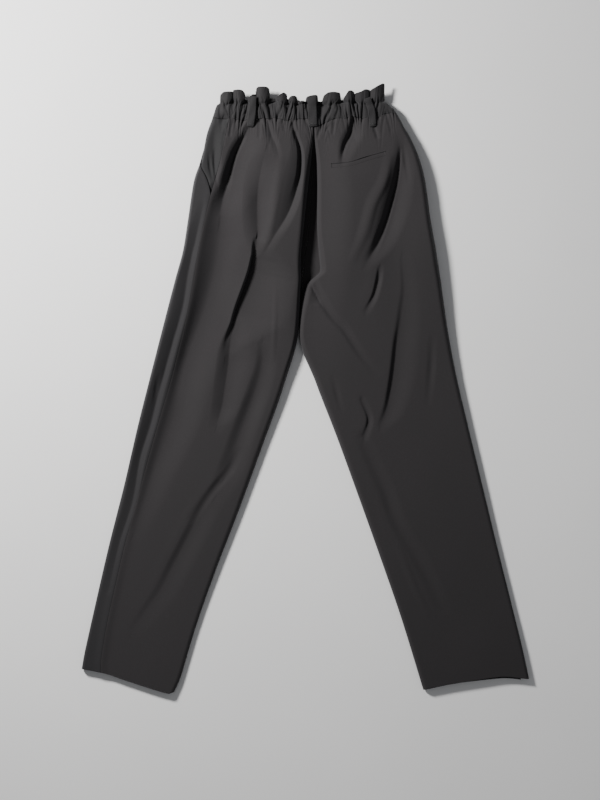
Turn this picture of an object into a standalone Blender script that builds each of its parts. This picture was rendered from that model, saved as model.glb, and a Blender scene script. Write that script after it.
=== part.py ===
"""Paperbag waist trousers, laid out flat with the back upward.

The waist is toward +Y and the hems toward -Y.  The wearer's left side is at -X.
The front panels rest on z = 0.  Tables are in millimetres; the mesh is in metres.
"""

import math

import bmesh
import bpy
import numpy as np
from mathutils import Vector
from mathutils.bvhtree import BVHTree

NAME = "paperbag_waist_trousers"
MM = 0.001
CLOTH = 1.3
HEM_CLOTH = 2.2
FACING_CLOTH = 1.0
BAND_CLOTH = 1.4
TRIM_CLOTH = 1.2
SEAM_GAP = 0.3
TUCK_GAP = 0.8
TUCK_DEPTH = 14.0
WAIST_SEAM_Y = 466.0
# Moves the middle of the footprint to the origin.
CENTRING = (0.138, 0.350)

SUITING = (0.040, 0.038, 0.040, 1.0)

# One row per cross section, waist seam to hem.  outer/inner: ends of the section seen from
# above.  crown: height of the upper face.  drop: height where the outer edge is vertical.
# edge: width of the outer shoulder.  roll: width of the shoulder at the inner edge.
# end: height of the back's inner edge.  corner: lower inner radius.  side: side seam from the
# outer edge, minus when under.  inseam: how far under the inner edge the inseam lies.
# wall: cloth.  plunge: 1 where the inner shoulder falls as one side of a V.
LEG_COLUMNS = ("outer_x", "outer_y", "inner_x", "inner_y", "crown", "drop", "edge", "roll",
               "end", "corner", "side", "inseam", "wall", "plunge")
LEFT_LEG = (
    (-161.0, 465.85, 14.85, 465.85, 19.0, 8.0, 10.0, 3.0, 16.5, 1.6, 29.0, 0.0, 1.3, 0.0),
    (-170.0, 439.0, 14.85, 434.0, 22.0, 8.0, 12.0, 6.0, 12.0, 1.6, 33.0, 0.0, 1.3, 0.3),
    (-180.0, 396.0, 12.85, 391.0, 26.0, 8.0, 16.0, 12.0, 4.5, 1.6, 34.0, 0.0, 1.3, 0.8),
    (-192.0, 361.0, 10.85, 353.0, 27.5, 8.0, 18.0, 15.0, 3.4, 1.6, 36.0, 0.0, 1.3, 1.0),
    (-203.0, 291.0, 5.85, 282.0, 27.5, 7.5, 18.0, 19.0, 3.2, 1.6, 28.0, 0.0, 1.3, 1.0),
    (-211.0, 241.0, -1.15, 230.0, 26.5, 7.0, 18.0, 21.0, 3.0, 1.6, 23.5, 0.0, 1.3, 0.7),
    (-225.0, 189.0, -7.15, 178.0, 24.0, 7.0, 17.0, 19.0, 1.6, 1.6, 26.0, 0.0, 1.3, 0.0),
    (-244.0, 116.0, -12.6, 97.0, 20.5, 6.5, 15.0, 14.0, 3.0, 3.0, 28.0, 9.0, 1.3, 0.0),
    (-265.0, 34.0, -37.0, 8.0, 17.0, 6.0, 13.0, 11.0, 4.0, 4.0, 27.5, 17.0, 1.3, 0.0),
    (-289.0, -61.0, -75.0, -99.0, 14.5, 5.5, 11.0, 9.5, 4.5, 4.5, 23.6, 22.0, 1.3, 0.0),
    (-313.0, -165.0, -116.0, -211.0, 13.0, 5.0, 10.0, 8.5, 4.5, 4.5, 18.0, 23.0, 1.3, 0.0),
    (-339.0, -268.0, -156.0, -315.0, 12.0, 5.0, 9.0, 8.0, 4.5, 4.5, 18.0, 23.0, 1.3, 0.0),
    (-363.0, -372.0, -191.0, -415.0, 11.5, 5.0, 8.5, 7.5, 4.5, 4.5, 20.0, 23.0, 1.3, 0.0),
    (-382.0, -458.0, -217.0, -501.0, 11.5, 5.0, 8.0, 7.5, 4.5, 4.5, 31.0, 23.0, 2.2, 0.0),
    (-387.0, -485.0, -227.0, -525.0, 11.5, 5.0, 8.0, 7.5, 4.5, 4.5, 34.0, 23.0, 2.2, 0.0),
)
RIGHT_LEG = (
    (160.0, 465.85, 15.15, 465.85, 19.0, 8.0, 10.0, 3.0, 16.5, 1.6, -14.0, 0.0, 1.3, 0.0),
    (178.0, 439.0, 15.15, 434.0, 22.0, 8.0, 12.0, 6.0, 12.0, 1.6, -14.0, 0.0, 1.3, 0.3),
    (197.0, 396.0, 13.15, 391.0, 26.0, 8.0, 16.0, 12.0, 4.5, 1.6, -14.0, 0.0, 1.3, 0.8),
    (206.0, 361.0, 11.15, 353.0, 27.5, 8.0, 18.0, 15.0, 3.4, 1.6, -14.0, 0.0, 1.3, 1.0),
    (216.0, 291.0, 6.15, 282.0, 27.5, 7.5, 18.0, 17.0, 3.2, 1.6, -14.0, 0.0, 1.3, 1.0),
    (225.0, 241.0, -0.85, 230.0, 26.5, 7.0, 18.0, 19.0, 3.0, 1.6, -14.0, 0.0, 1.3, 0.7),
    (233.0, 189.0, -6.85, 178.0, 23.5, 7.0, 17.0, 17.0, 1.6, 1.6, -14.0, 0.0, 1.3, 0.0),
    (244.0, 111.0, -11.4, 97.0, 19.5, 6.5, 15.0, 13.0, 3.0, 3.0, -14.0, 9.0, 1.3, 0.0),
    (258.0, 34.0, 18.0, 11.0, 16.5, 6.0, 13.0, 11.0, 4.0, 4.0, -14.0, 17.0, 1.3, 0.0),
    (280.0, -61.0, 54.0, -82.0, 14.5, 5.5, 11.0, 9.5, 4.5, 4.5, -14.0, 22.0, 1.3, 0.0),
    (303.0, -156.0, 89.0, -178.0, 13.0, 5.0, 10.0, 8.5, 4.5, 4.5, -14.0, 23.0, 1.3, 0.0),
    (330.0, -268.0, 128.0, -287.0, 12.0, 5.0, 9.0, 8.0, 4.5, 4.5, -14.0, 23.0, 1.3, 0.0),
    (356.0, -372.0, 165.0, -394.0, 11.5, 5.0, 8.5, 7.5, 4.5, 4.5, -14.0, 23.0, 1.3, 0.0),
    (377.0, -458.0, 191.0, -478.0, 11.5, 5.0, 8.0, 7.5, 4.5, 4.5, -14.0, 23.0, 2.2, 0.0),
    (386.0, -503.0, 203.0, -518.0, 11.5, 5.0, 8.0, 7.5, 4.5, 4.5, -14.0, 23.0, 2.2, 0.0),
)
# Stations of the modelled sections, in rows of the leg tables.
STATIONS = (0.0, 0.35, 0.75, 1.2, 1.6, 2.0, 2.55, 3.0, 3.4, 3.7, 4.0, 4.4, 4.8, 5.2, 5.6, 6.0,
            6.3, 6.6, 7.0, 7.4, 7.8, 8.2, 8.6, 9.0, 9.5, 10.0, 10.5, 11.0, 11.5, 12.0, 12.5,
            13.0, 14.0)
# Slant pocket mouths: station, distance of the mouth from the side seam round the section.
MOUTH_COLUMNS = ("station", "away")
LEFT_MOUTH = ((0.0, 68.0), (1.2, 54.0), (2.0, 41.0), (3.0, 13.0), (3.4, 0.0))
RIGHT_MOUTH = ((0.0, 42.0), (1.2, 34.0), (2.0, 24.0), (3.0, 8.0), (3.4, 0.0))
# Hem line: how much shorter than the straight hem, at fractions outer to inner.
HEM_COLUMNS = ("fraction", "back", "front")
LEFT_HEM = ((0.0, 4.0, 4.0), (0.21, 6.5, 6.0), (0.5, 3.0, 3.0), (0.94, -1.0, 0.5), (1.0, 4.0, 4.0))
RIGHT_HEM = ((0.0, 4.5, 1.7), (0.27, 12.5, 9.0), (0.5, 10.0, 8.0), (0.75, 6.5, 6.0),
             (1.0, 0.5, 1.0))

# Folds of the back panels: name, points down the fold, width to -X, width to +X, depth, lip.
FOLDS = (
    ("hip_trough_left", ((-101, 454), (-115, 430), (-130, 392), (-142, 353)), 9, 13, 7.0, 1.0),
    ("hip_lane_left", ((-142, 353), (-161, 284), (-185, 189), (-209, 68), (-237, -49)),
     15, 26, 3.2, 0.6),
    ("seat_pleat_left", ((-22, 465), (-11, 427), (-4, 396), (-11, 344), (-34, 275)),
     30, 7, 6.0, 1.5),
    ("seat_hollow_left", ((-73, 399), (-84, 353), (-97, 278)), 15, 15, 2.5, 0.0),
    ("seat_hollow_mid", ((-25, 387), (-37, 327), (-59, 254)), 16, 14, 2.5, 0.0),
    ("thigh_fold_left", ((-87, 272), (-84, 241), (-94, 199), (-116, 149), (-132, 92), (-151, -9)),
     8, 20, 10.0, 1.5),
    ("leg_crease_left", ((-77, 44), (-103, -22), (-134, -108), (-175, -191), (-216, -254),
     (-280, -384)), 14, 26, 3.4, 0.8),
    ("pleat_right", ((85, 465), (75, 441), (65, 420), (63, 391)), 8, 12, 6.0, 1.0),
    ("hip_fold_right", ((146, 441), (159, 408), (158, 370), (144, 318), (125, 261), (97, 209)),
     8, 18, 9.0, 1.5),
    ("thigh_nick_right", ((125, 199), (120, 168), (104, 137)), 8, 13, 4.0, 0.5),
    ("thigh_fold_right", ((166, 215), (170, 154), (166, 109), (154, 82), (153, 9), (134, -46)),
     8, 18, 7.0, 1.0),
    ("leg_crease_right", ((96, -18), (113, -70), (135, -168), (170, -259), (222, -359)),
     14, 24, 3.4, 0.8),
    ("crotch_drag", ((-1, 203), (20, 156), (53, 115), (91, 63)), 18, 18, 3.0, 0.0),
    ("gather_0", ((-113, 468), (-120, 444)), 7, 7, 2.5, 0.0),
    ("gather_1", ((-128, 472), (-132, 437)), 6, 6, 2.5, 0.0),
    ("gather_2", ((-78, 472), (-80, 436)), 7, 7, 2.5, 0.0),
    ("gather_3", ((-56, 472), (-46, 430)), 7, 7, 2.5, 0.0),
    ("gather_4", ((28, 472), (20, 434)), 7, 7, 2.5, 0.0),
    ("gather_5", ((50, 472), (46, 438)), 7, 7, 2.2, 0.0),
    ("gather_6", ((116, 468), (125, 437)), 7, 7, 2.5, 0.0),
)
# Soft fullness of the back: centre, half sizes, height.
FULLNESS = (
    (-55.0, 320.0, 50.0, 110.0, 2.5),
    (75.0, 315.0, 60.0, 110.0, 3.0),
    (-185.0, 150.0, 35.0, 150.0, 1.5),
    (200.0, 250.0, 30.0, 150.0, 1.0),
    (-40.0, 120.0, 30.0, 90.0, 2.0),
    (60.0, 60.0, 45.0, 90.0, 1.0),
)

# Waistband levels: height above the seam, left edge, right edge, crown, pucker, ruffle depth.
BAND_COLUMNS = ("rise", "left", "right", "crown", "pucker", "ruffle")
BAND = (
    (0.15, -161.0, 160.0, 19.0, 0.5, 0.2),
    (9.0, -158.0, 153.0, 19.0, 1.1, 0.3),
    (22.0, -154.5, 142.0, 18.5, 1.1, 0.5),
    (30.0, -150.5, 136.8, 18.0, 0.7, 0.9),
    (40.0, -148.5, 136.0, 18.3, 0.4, 3.0),
    (54.0, -147.0, 137.0, 19.0, 0.2, 5.0),
)
HEADER_RISE = 30.0
HEADER_TOP = 54.0
# Ruffle waves: centre, half width, y of the free edge.
RUFFLE_BASE = 500.5
BACK_RUFFLE = (
    (-140.0, 9.5, 509.0), (-118.0, 12.9, 516.0), (-93.0, 8.0, 508.0), (-74.0, 12.1, 522.0),
    (-39.0, 11.2, 510.0), (-16.0, 9.5, 506.0), (11.0, 11.2, 507.0), (47.0, 15.5, 514.0),
    (75.0, 10.3, 515.0), (96.0, 11.5, 515.0), (123.0, 14.0, 523.0),
)
FRONT_RUFFLE = (
    (-137.0, 10.0, 503.0), (-116.0, 11.0, 507.0), (-92.0, 9.5, 502.0), (-72.0, 11.0, 508.0),
    (-41.0, 12.5, 502.0), (-15.0, 10.0, 501.0), (10.0, 11.0, 502.0), (34.0, 10.0, 503.0),
    (54.0, 10.0, 505.0), (78.0, 11.0, 504.0), (99.0, 10.0, 504.0), (121.0, 11.5, 506.0),
)
PUCKER_PITCH = 9.6
BAND_DROP = 8.5
BAND_EDGE = 10.0
BAND_SIDE_LEFT = 30.0
BAND_SIDE_RIGHT = 14.0

# Belt loops: name, top end, bottom end, width.
LOOPS = (
    ("belt_loop_back_left", (-90.0, 504.0), (-95.0, 452.0), 11.0),
    ("belt_loop_back_centre", (11.0, 504.0), (13.0, 452.0), 14.0),
    ("belt_loop_back_right", (107.0, 501.0), (116.0, 452.0), 11.0),
)
# Welt of the right back pocket: upper edge points and height of the welt.
WELT = ((44.0, 389.0), (58.0, 390.0), (73.0, 391.5), (85.0, 394.5), (97.0, 398.5), (110.0, 402.5))
WELT_TAIL = ((124.0, 406.5), (136.0, 410.0))
WELT_HEIGHT = 8.0


def steady(knots, values, where):
    """Cubic through a table's values that never passes beyond them."""
    x = np.asarray(knots, dtype=float)
    y = np.asarray(values, dtype=float)
    w = np.clip(np.asarray(where, dtype=float), x[0], x[-1])
    h = np.diff(x)
    slope = np.diff(y) / h
    m = np.zeros(len(x))
    m[0] = slope[0]
    m[-1] = slope[-1]
    for i in range(1, len(x) - 1):
        if slope[i - 1] * slope[i] > 0.0:
            m[i] = 2.0 * slope[i - 1] * slope[i] / (slope[i - 1] + slope[i])
    k = np.clip(np.searchsorted(x, w, side="right") - 1, 0, len(x) - 2)
    u = (w - x[k]) / h[k]
    a = (1.0 + 2.0 * u) * (1.0 - u) ** 2
    b = u * (1.0 - u) ** 2
    c = u * u * (3.0 - 2.0 * u)
    d = u * u * (u - 1.0)
    return a * y[k] + b * h[k] * m[k] + c * y[k + 1] + d * h[k] * m[k + 1]


def row_at(rows, names, knots, where):
    """Every column of a table at one place along it."""
    data = np.asarray(rows, dtype=float)
    return {n: float(steady(knots, data[:, i], where)) for i, n in enumerate(names)}


def ease(v):
    v = np.clip(v, 0.0, 1.0)
    return v * v * (3.0 - 2.0 * v)


def fold_height(x, y, fold):
    """Height change of one fold at points seen from above."""
    points = np.asarray(fold[1], dtype=float)
    seg = np.diff(points, axis=0)
    length = np.hypot(seg[:, 0], seg[:, 1])
    start = np.concatenate(([0.0], np.cumsum(length)))
    best = np.full(np.shape(x), 1e9)
    signed = np.zeros(np.shape(x))
    along = np.zeros(np.shape(x))
    for i in range(len(seg)):
        dx = x - points[i, 0]
        dy = y - points[i, 1]
        u = np.clip((dx * seg[i, 0] + dy * seg[i, 1]) / length[i] ** 2, 0.0, 1.0)
        ex = dx - u * seg[i, 0]
        ey = dy - u * seg[i, 1]
        dist = np.hypot(ex, ey)
        near = dist < best
        turn = seg[i, 0] * dy - seg[i, 1] * dx
        best = np.where(near, dist, best)
        signed = np.where(near, np.sign(turn) * dist, signed)
        along = np.where(near, start[i] + u * length[i], along)
    total = start[-1]
    lead = min(45.0, 0.4 * total)
    fade = ease(along / lead + 0.1) * ease((total - along) / lead + 0.05)
    width = np.where(signed < 0.0, fold[2], fold[3])
    trough = 0.5 + 0.5 * np.cos(np.pi * np.clip(np.abs(signed) / width, 0.0, 1.0))
    lip_side = -1.0 if fold[2] < fold[3] else 1.0
    lip_at = lip_side * (min(fold[2], fold[3]) + 7.0)
    lip = np.exp(-(((signed - lip_at) / 7.0) ** 2))
    return fade * (fold[5] * lip - fold[4] * trough)


def crown_height(x, y, crown):
    """Height of the upper face of the back panels."""
    z = np.full(np.shape(x), crown)
    swell = ease((466.0 - y) / 60.0)
    for cx, cy, rx, ry, high in FULLNESS:
        z = z + swell * high * np.exp(-(((x - cx) / rx) ** 2) - ((y - cy) / ry) ** 2)
    for fold in FOLDS:
        z = z + fold_height(x, y, fold)
    return np.maximum(z, 5.2)


def section(rows, station):
    """One cross section: a closed run of points with its lengths and key places."""
    r = row_at(rows, LEG_COLUMNS, range(len(rows)), station)
    start = np.array((r["outer_x"], r["outer_y"]))
    across = np.array((r["inner_x"], r["inner_y"])) - start
    wide = float(np.hypot(across[0], across[1]))
    unit = across / wide
    c = r["corner"]
    end = max(r["end"], c)
    turn = np.linspace(0.0, math.pi / 2.0, 24)

    def top(q):
        x = start[0] + unit[0] * q
        y = start[1] + unit[1] * q
        return crown_height(x, y, r["crown"])

    floor_in = np.linspace(wide / 2.0, wide - c, 30)
    rise = np.linspace(c, end, 6)[1:]
    step = turn[1:] / turn[-1]
    vee_q = 0.7 * step * (1.0 - step) + step * step
    vee_z = 2.0 * step * (1.0 - step) + step * step
    roll_q = (1.0 - np.cos(turn[1:])) * (1.0 - r["plunge"]) + vee_q * r["plunge"]
    roll_z = np.sin(turn[1:]) * (1.0 - r["plunge"]) + vee_z * r["plunge"]
    q_roll = wide - r["roll"] * roll_q
    q_top = np.linspace(wide - r["roll"], r["edge"], 170)[1:]
    back = turn[::-1][1:]
    q_edge = r["edge"] * (1.0 - np.cos(back))
    low = 0.9 * r["drop"]
    floor_out = np.linspace(low, wide / 2.0, 30)[1:]
    parts = [
        (floor_in, np.zeros(30)),
        (wide - c + c * np.sin(turn[1:]), c - c * np.cos(turn[1:])),
        (np.full(5, wide), rise),
        (q_roll, end + (top(q_roll) - end) * roll_z),
        (q_top, top(q_top)),
        (q_edge, r["drop"] + (top(q_edge) - r["drop"]) * np.sin(back)),
        (low * (1.0 - np.cos(turn[1:])), r["drop"] * (1.0 - np.sin(turn[1:]))),
        (floor_out, np.zeros(29)),
    ]
    if end - c < 1e-6:
        parts.pop(2)
    q = np.concatenate([p[0] for p in parts])
    z = np.concatenate([p[1] for p in parts])
    return shape_run(r, start, unit, wide, q, z, end)


def shape_run(r, start, unit, wide, q, z, end):
    """Lengths, outward directions and key places of a section."""
    dq = np.gradient(q)
    dz = np.gradient(z)
    size = np.maximum(np.hypot(dq, dz), 1e-9)
    s = np.concatenate(([0.0], np.cumsum(np.hypot(np.diff(q), np.diff(z)))))
    nq = dz / size
    nz = -dq / size
    angle = np.unwrap(np.arctan2(nz, nq))
    turning = np.concatenate(([0.0], np.cumsum(np.abs(np.diff(angle)))))
    corner_end = float(s[np.argmax(q >= wide - 1e-6)])
    outermost = int(np.argmin(q))
    upper = slice(int(np.argmax(q)) + 5, outermost + 1)
    if r["side"] > 0.0:
        side = float(np.interp(r["side"], q[upper][::-1], s[upper][::-1]))
    else:
        side = float(np.interp(-r["side"], q[outermost:], s[outermost:]))
    begin = corner_end + (end - r["corner"]) - r["inseam"]
    return {
        "row": r, "start": start, "unit": unit, "q": q, "z": z, "s": s, "nq": nq, "nz": nz,
        "turning": turning, "side": side, "begin": begin, "finish": corner_end - r["inseam"],
        "total": float(s[-1]),
    }


def place(run, where, inward=0.0):
    """Points of a section at given lengths, moved inward by a given amount."""
    total = run["total"]
    w = np.mod(where, total)
    q = np.interp(w, run["s"], run["q"])
    z = np.interp(w, run["s"], run["z"])
    nq = np.interp(w, run["s"], run["nq"])
    nz = np.interp(w, run["s"], run["nz"])
    size = np.maximum(np.hypot(nq, nz), 1e-9)
    q = q - inward * nq / size
    z = z - inward * nz / size
    x = run["start"][0] + run["unit"][0] * q
    y = run["start"][1] + run["unit"][1] * q
    return np.stack((x, y, z), axis=-1)


def spread(run, first, last, count, flat_weight, bend_weight):
    """Lengths along a section, closer together where it bends."""
    s = np.linspace(first, last, 600)
    total = run["total"]
    w = np.mod(s, total)
    laps = np.floor(s / total)
    turned = np.interp(w, run["s"], run["turning"]) + laps * run["turning"][-1]
    height = np.interp(w, run["s"], run["z"])
    weight = np.where(height < 0.05, flat_weight, 1.0)
    step = np.diff(s) * 0.5 * (weight[1:] + weight[:-1]) + bend_weight * np.abs(np.diff(turned))
    measure = np.concatenate(([0.0], np.cumsum(step)))
    return np.interp(np.linspace(0.0, measure[-1], count), measure, s)


def hem_shift(points, run, hem, column, station, last):
    """Shape the hem line: shorten the last section by the hem table."""
    if station < last - 1.01:
        return points
    share = ease((station - (last - 1.0)) / 1.0)
    data = np.asarray(hem, dtype=float)
    unit = run["unit"]
    dx = points[:, 0] - run["start"][0]
    dy = points[:, 1] - run["start"][1]
    wide = math.hypot(run["row"]["inner_x"] - run["start"][0],
                      run["row"]["inner_y"] - run["start"][1])
    f = np.clip((dx * unit[0] + dy * unit[1]) / wide, 0.0, 1.0)
    short = steady(data[:, 0], data[:, column], f) * share
    sign = 1.0 if unit[0] > 0.0 else -1.0
    up = np.array((-unit[1], unit[0])) * sign
    moved = points.copy()
    moved[:, 0] = moved[:, 0] + up[0] * short
    moved[:, 1] = moved[:, 1] + up[1] * short
    return moved


def piece(name, mesh):
    """Object with its own material from a finished bmesh."""
    data = bpy.data.meshes.new(name)
    mesh.to_mesh(data)
    mesh.free()
    data.shade_smooth()
    material = bpy.data.materials.new(name + "_cloth")
    material.use_nodes = True
    shader = material.node_tree.nodes["Principled BSDF"]
    shader.inputs["Base Color"].default_value = SUITING
    shader.inputs["Roughness"].default_value = 0.9
    shader.inputs["Metallic"].default_value = 0.0
    material.diffuse_color = SUITING
    data.materials.append(material)
    obj = bpy.data.objects.new(name, data)
    obj.location = (CENTRING[0] * MM, CENTRING[1] * MM, 0.0)
    bpy.data.collections[NAME].objects.link(obj)
    return obj


def cloth_wall(name, outer, inner):
    """Closed cloth wall: a loft through sections of outer and inner points."""
    rows, cols = outer.shape[:2]
    mesh = bmesh.new()
    out_v = [[mesh.verts.new(Vector(p) * MM) for p in line] for line in outer.tolist()]
    in_v = [[mesh.verts.new(Vector(p) * MM) for p in line] for line in inner.tolist()]
    for i in range(rows - 1):
        for j in range(cols - 1):
            mesh.faces.new((out_v[i][j], out_v[i][j + 1], out_v[i + 1][j + 1], out_v[i + 1][j]))
            mesh.faces.new((in_v[i][j], in_v[i + 1][j], in_v[i + 1][j + 1], in_v[i][j + 1]))
    for i in range(rows - 1):
        mesh.faces.new((out_v[i][0], out_v[i + 1][0], in_v[i + 1][0], in_v[i][0]))
        mesh.faces.new((out_v[i + 1][-1], out_v[i][-1], in_v[i][-1], in_v[i + 1][-1]))
    for j in range(cols - 1):
        mesh.faces.new((out_v[0][j + 1], out_v[0][j], in_v[0][j], in_v[0][j + 1]))
        mesh.faces.new((out_v[-1][j], out_v[-1][j + 1], in_v[-1][j + 1], in_v[-1][j]))
    bmesh.ops.recalc_face_normals(mesh, faces=mesh.faces[:])
    bmesh.ops.triangulate(mesh, faces=mesh.faces[:])
    return piece(name, mesh)


def trim_strip(name, rows):
    """Flat trim: an open strip of points, thickened downward by Solidify."""
    mesh = bmesh.new()
    points = [[mesh.verts.new(Vector(p) * MM) for p in line] for line in rows]
    for i in range(len(rows) - 1):
        for j in range(len(rows[0]) - 1):
            mesh.faces.new((points[i][j], points[i + 1][j], points[i + 1][j + 1],
                            points[i][j + 1]))
    obj = piece(name, mesh)
    solidify = obj.modifiers.new("wall", "SOLIDIFY")
    solidify.thickness = TRIM_CLOTH * MM
    solidify.offset = -1.0
    solidify.use_even_offset = False
    return obj


def panel(name, rows, hem, mouth, side_is_back, columns, flat_weight):
    """One leg panel, cut from the sections between its seams."""
    outer = []
    inner = []
    last = float(len(rows) - 1)
    mouth_data = np.asarray(mouth, dtype=float)
    for station in STATIONS:
        run = section(rows, station)
        if side_is_back:
            first = run["begin"]
            stop = run["side"]
        else:
            away = 0.0
            if station < mouth_data[-1, 0]:
                away = float(steady(mouth_data[:, 0], mouth_data[:, 1], station))
            first = run["side"] + SEAM_GAP + away
            stop = run["total"] + run["finish"] - SEAM_GAP
        if side_is_back:
            where = spread(run, first, stop, columns, flat_weight, 10.0)
        else:
            rest = spread(run, first + TUCK_DEPTH, stop, columns - 4, flat_weight, 10.0)
            where = np.concatenate((first + TUCK_DEPTH * np.array((0.0, 0.25, 0.5, 0.75)), rest))
        wall = run["row"]["wall"]
        column = 1 if side_is_back else 2
        outer.append(hem_shift(place(run, where), run, hem, column, station, last))
        inner.append(hem_shift(place(run, where, wall), run, hem, column, station, last))
    return cloth_wall(name, np.array(outer), np.array(inner))


def facing(name, rows, mouth, columns):
    """Pocket facing: fills the mouth, then tucks behind the front panel."""
    outer = []
    inner = []
    mouth_data = np.asarray(mouth, dtype=float)
    for station in STATIONS:
        if station > mouth_data[-1, 0] + 1e-6:
            break
        run = section(rows, station)
        away = float(steady(mouth_data[:, 0], mouth_data[:, 1], station))
        first = run["side"] + SEAM_GAP
        edge = first + away
        tuck = edge + TUCK_DEPTH * np.array((-1.0 / TUCK_DEPTH, 0.0, 0.25, 0.5, 0.75, 1.0))
        open_part = np.linspace(first, max(edge - 5.0, first), columns - 6)
        where = np.concatenate((open_part, tuck))
        where = np.maximum(where, first + 0.15 * np.arange(columns))
        where = np.maximum.accumulate(where)
        closed = 1.0 - ease((away - 5.0) / 6.0)
        sink = (CLOTH + TUCK_GAP) * np.maximum(ease((where - (edge - 5.0)) / 4.0), closed)
        outer.append(place(run, where, sink))
        inner.append(place(run, where, sink + FACING_CLOTH))
    return cloth_wall(name, np.array(outer), np.array(inner))


def ruffle_wave(x, waves):
    """How much of a crest each place of the ruffle is, and its free edge."""
    crest = np.zeros(np.shape(x))
    edge = np.full(np.shape(x), RUFFLE_BASE)
    for cx, half, top in waves:
        d = np.abs(x - cx) / (half + 1.5)
        bump = np.where(d < 1.0, 1.0 - ease(np.clip((d - 0.3) / 0.7, 0.0, 1.0)), 0.0)
        crest = np.maximum(crest, bump)
        arch = np.sqrt(np.clip(1.0 - d * d, 0.0, 1.0))
        edge = np.maximum(edge, RUFFLE_BASE + (top - RUFFLE_BASE) * arch)
    return crest, edge


def pucker_wave(x):
    """Close gathers of the elasticated casing."""
    phase = x / PUCKER_PITCH + 0.35 * np.sin(x * 0.071 + 0.6) + 0.2 * np.sin(x * 0.23)
    return np.sin(2.0 * math.pi * phase)


def band_section(rise):
    """Closed run of the waistband at one level, before its waves are added."""
    knots = [b[0] for b in BAND]
    r = row_at(BAND, BAND_COLUMNS, knots, rise)
    wide = r["right"] - r["left"]
    turn = np.linspace(0.0, math.pi / 2.0, 24)
    drop = BAND_DROP
    low = 0.9 * drop
    crown = r["crown"]
    q = np.concatenate((
        np.linspace(wide / 2.0, wide - low, 60),
        wide - low + low * np.sin(turn[1:]),
        wide - BAND_EDGE * (1.0 - np.cos(turn[1:])),
        np.linspace(wide - BAND_EDGE, BAND_EDGE, 280)[1:],
        BAND_EDGE * (1.0 - np.cos(turn[::-1][1:])),
        low * (1.0 - np.cos(turn[1:])),
        np.linspace(low, wide / 2.0, 60)[1:],
    ))
    z = np.concatenate((
        np.zeros(60),
        drop * (1.0 - np.cos(turn[1:])),
        drop + (crown - drop) * np.sin(turn[1:]),
        np.full(279, crown),
        drop + (crown - drop) * np.sin(turn[::-1][1:]),
        drop * (1.0 - np.sin(turn[1:])),
        np.zeros(59),
    ))
    run = {"row": r, "q": q, "z": z, "wide": wide}
    dq = np.gradient(q)
    dz = np.gradient(z)
    size = np.maximum(np.hypot(dq, dz), 1e-9)
    run["nq"] = dz / size
    run["nz"] = -dq / size
    run["s"] = np.concatenate(([0.0], np.cumsum(np.hypot(np.diff(q), np.diff(z)))))
    run["total"] = float(run["s"][-1])
    top = (run["nz"] > 0.5) & (z > drop + 1.0)
    run["left_seam"] = float(np.interp(BAND_SIDE_LEFT, q[top][::-1], run["s"][top][::-1]))
    right_floor = (q > wide / 2.0) & (z < 0.01) & (run["s"] < run["total"] / 3.0)
    run["right_seam"] = float(np.interp(wide - BAND_SIDE_RIGHT, q[right_floor],
                                        run["s"][right_floor]))
    return run


def band_points(rise, where, inward):
    """Points of the waistband at one level with puckers and ruffle waves."""
    run = band_section(rise)
    w = np.mod(where, run["total"])
    q = np.interp(w, run["s"], run["q"])
    z = np.interp(w, run["s"], run["z"])
    nq = np.interp(w, run["s"], run["nq"])
    nz = np.interp(w, run["s"], run["nz"])
    r = run["row"]
    x = r["left"] + q
    up = ease((nz + 0.2) / 0.6)
    crest_back, edge_back = ruffle_wave(x, BACK_RUFFLE)
    crest_front, edge_front = ruffle_wave(x, FRONT_RUFFLE)
    pucker = pucker_wave(x)
    wave_back = r["pucker"] * pucker + r["ruffle"] * (2.0 * crest_back - 1.0)
    lift = r["pucker"] * (1.0 + pucker) * 0.8 + r["ruffle"] * (1.0 - crest_front) * 0.9
    wave_front = -np.maximum(lift - 0.5 * r["pucker"], 0.0)
    near_edge = ease(np.minimum(q, run["wide"] - q) / 20.0)
    wave = (up * wave_back + (1.0 - up) * wave_front) * (0.1 + 0.9 * near_edge)
    head = np.clip((rise - HEADER_RISE) / (HEADER_TOP - HEADER_RISE), 0.0, 1.0)
    edge = up * edge_back + (1.0 - up) * edge_front
    y_top = WAIST_SEAM_Y + HEADER_RISE + (edge - WAIST_SEAM_Y - HEADER_RISE)
    y = WAIST_SEAM_Y + np.minimum(rise, HEADER_RISE) + head * (y_top - WAIST_SEAM_Y - HEADER_RISE)
    base = place_band(x, z, nq, nz, wave - inward)
    return np.stack((base[0], y, base[1]), axis=-1)


def place_band(x, z, nq, nz, push):
    size = np.maximum(np.hypot(nq, nz), 1e-9)
    return x + push * nq / size, z + push * nz / size


def waistband(name, is_back, columns):
    """Casing and ruffled header of the back or of the front."""
    levels = (0.15, 6.0, 14.0, 24.0, 30.0, 38.0, 54.0)
    outer = []
    inner = []
    for rise in levels:
        run = band_section(rise)
        if is_back:
            first = run["right_seam"] + SEAM_GAP
            last = run["left_seam"]
        else:
            first = run["left_seam"] + SEAM_GAP
            last = run["total"] + run["right_seam"]
        where = np.linspace(first, last, columns)
        outer.append(band_points(rise, where, 0.0))
        inner.append(band_points(rise, where, BAND_CLOTH))
    outer = np.array(outer)
    outer[..., 2] = np.maximum(outer[..., 2], 0.0)
    return cloth_wall(name, outer, np.array(inner))


def surface_height(trees, x, y):
    """Greatest height of the pieces under one place."""
    best = -1.0
    for tree in trees:
        hit = tree.ray_cast(Vector((x * MM, y * MM, 0.2)), Vector((0.0, 0.0, -1.0)))
        if hit[0] is not None:
            best = max(best, hit[0].z / MM)
    return best


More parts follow.
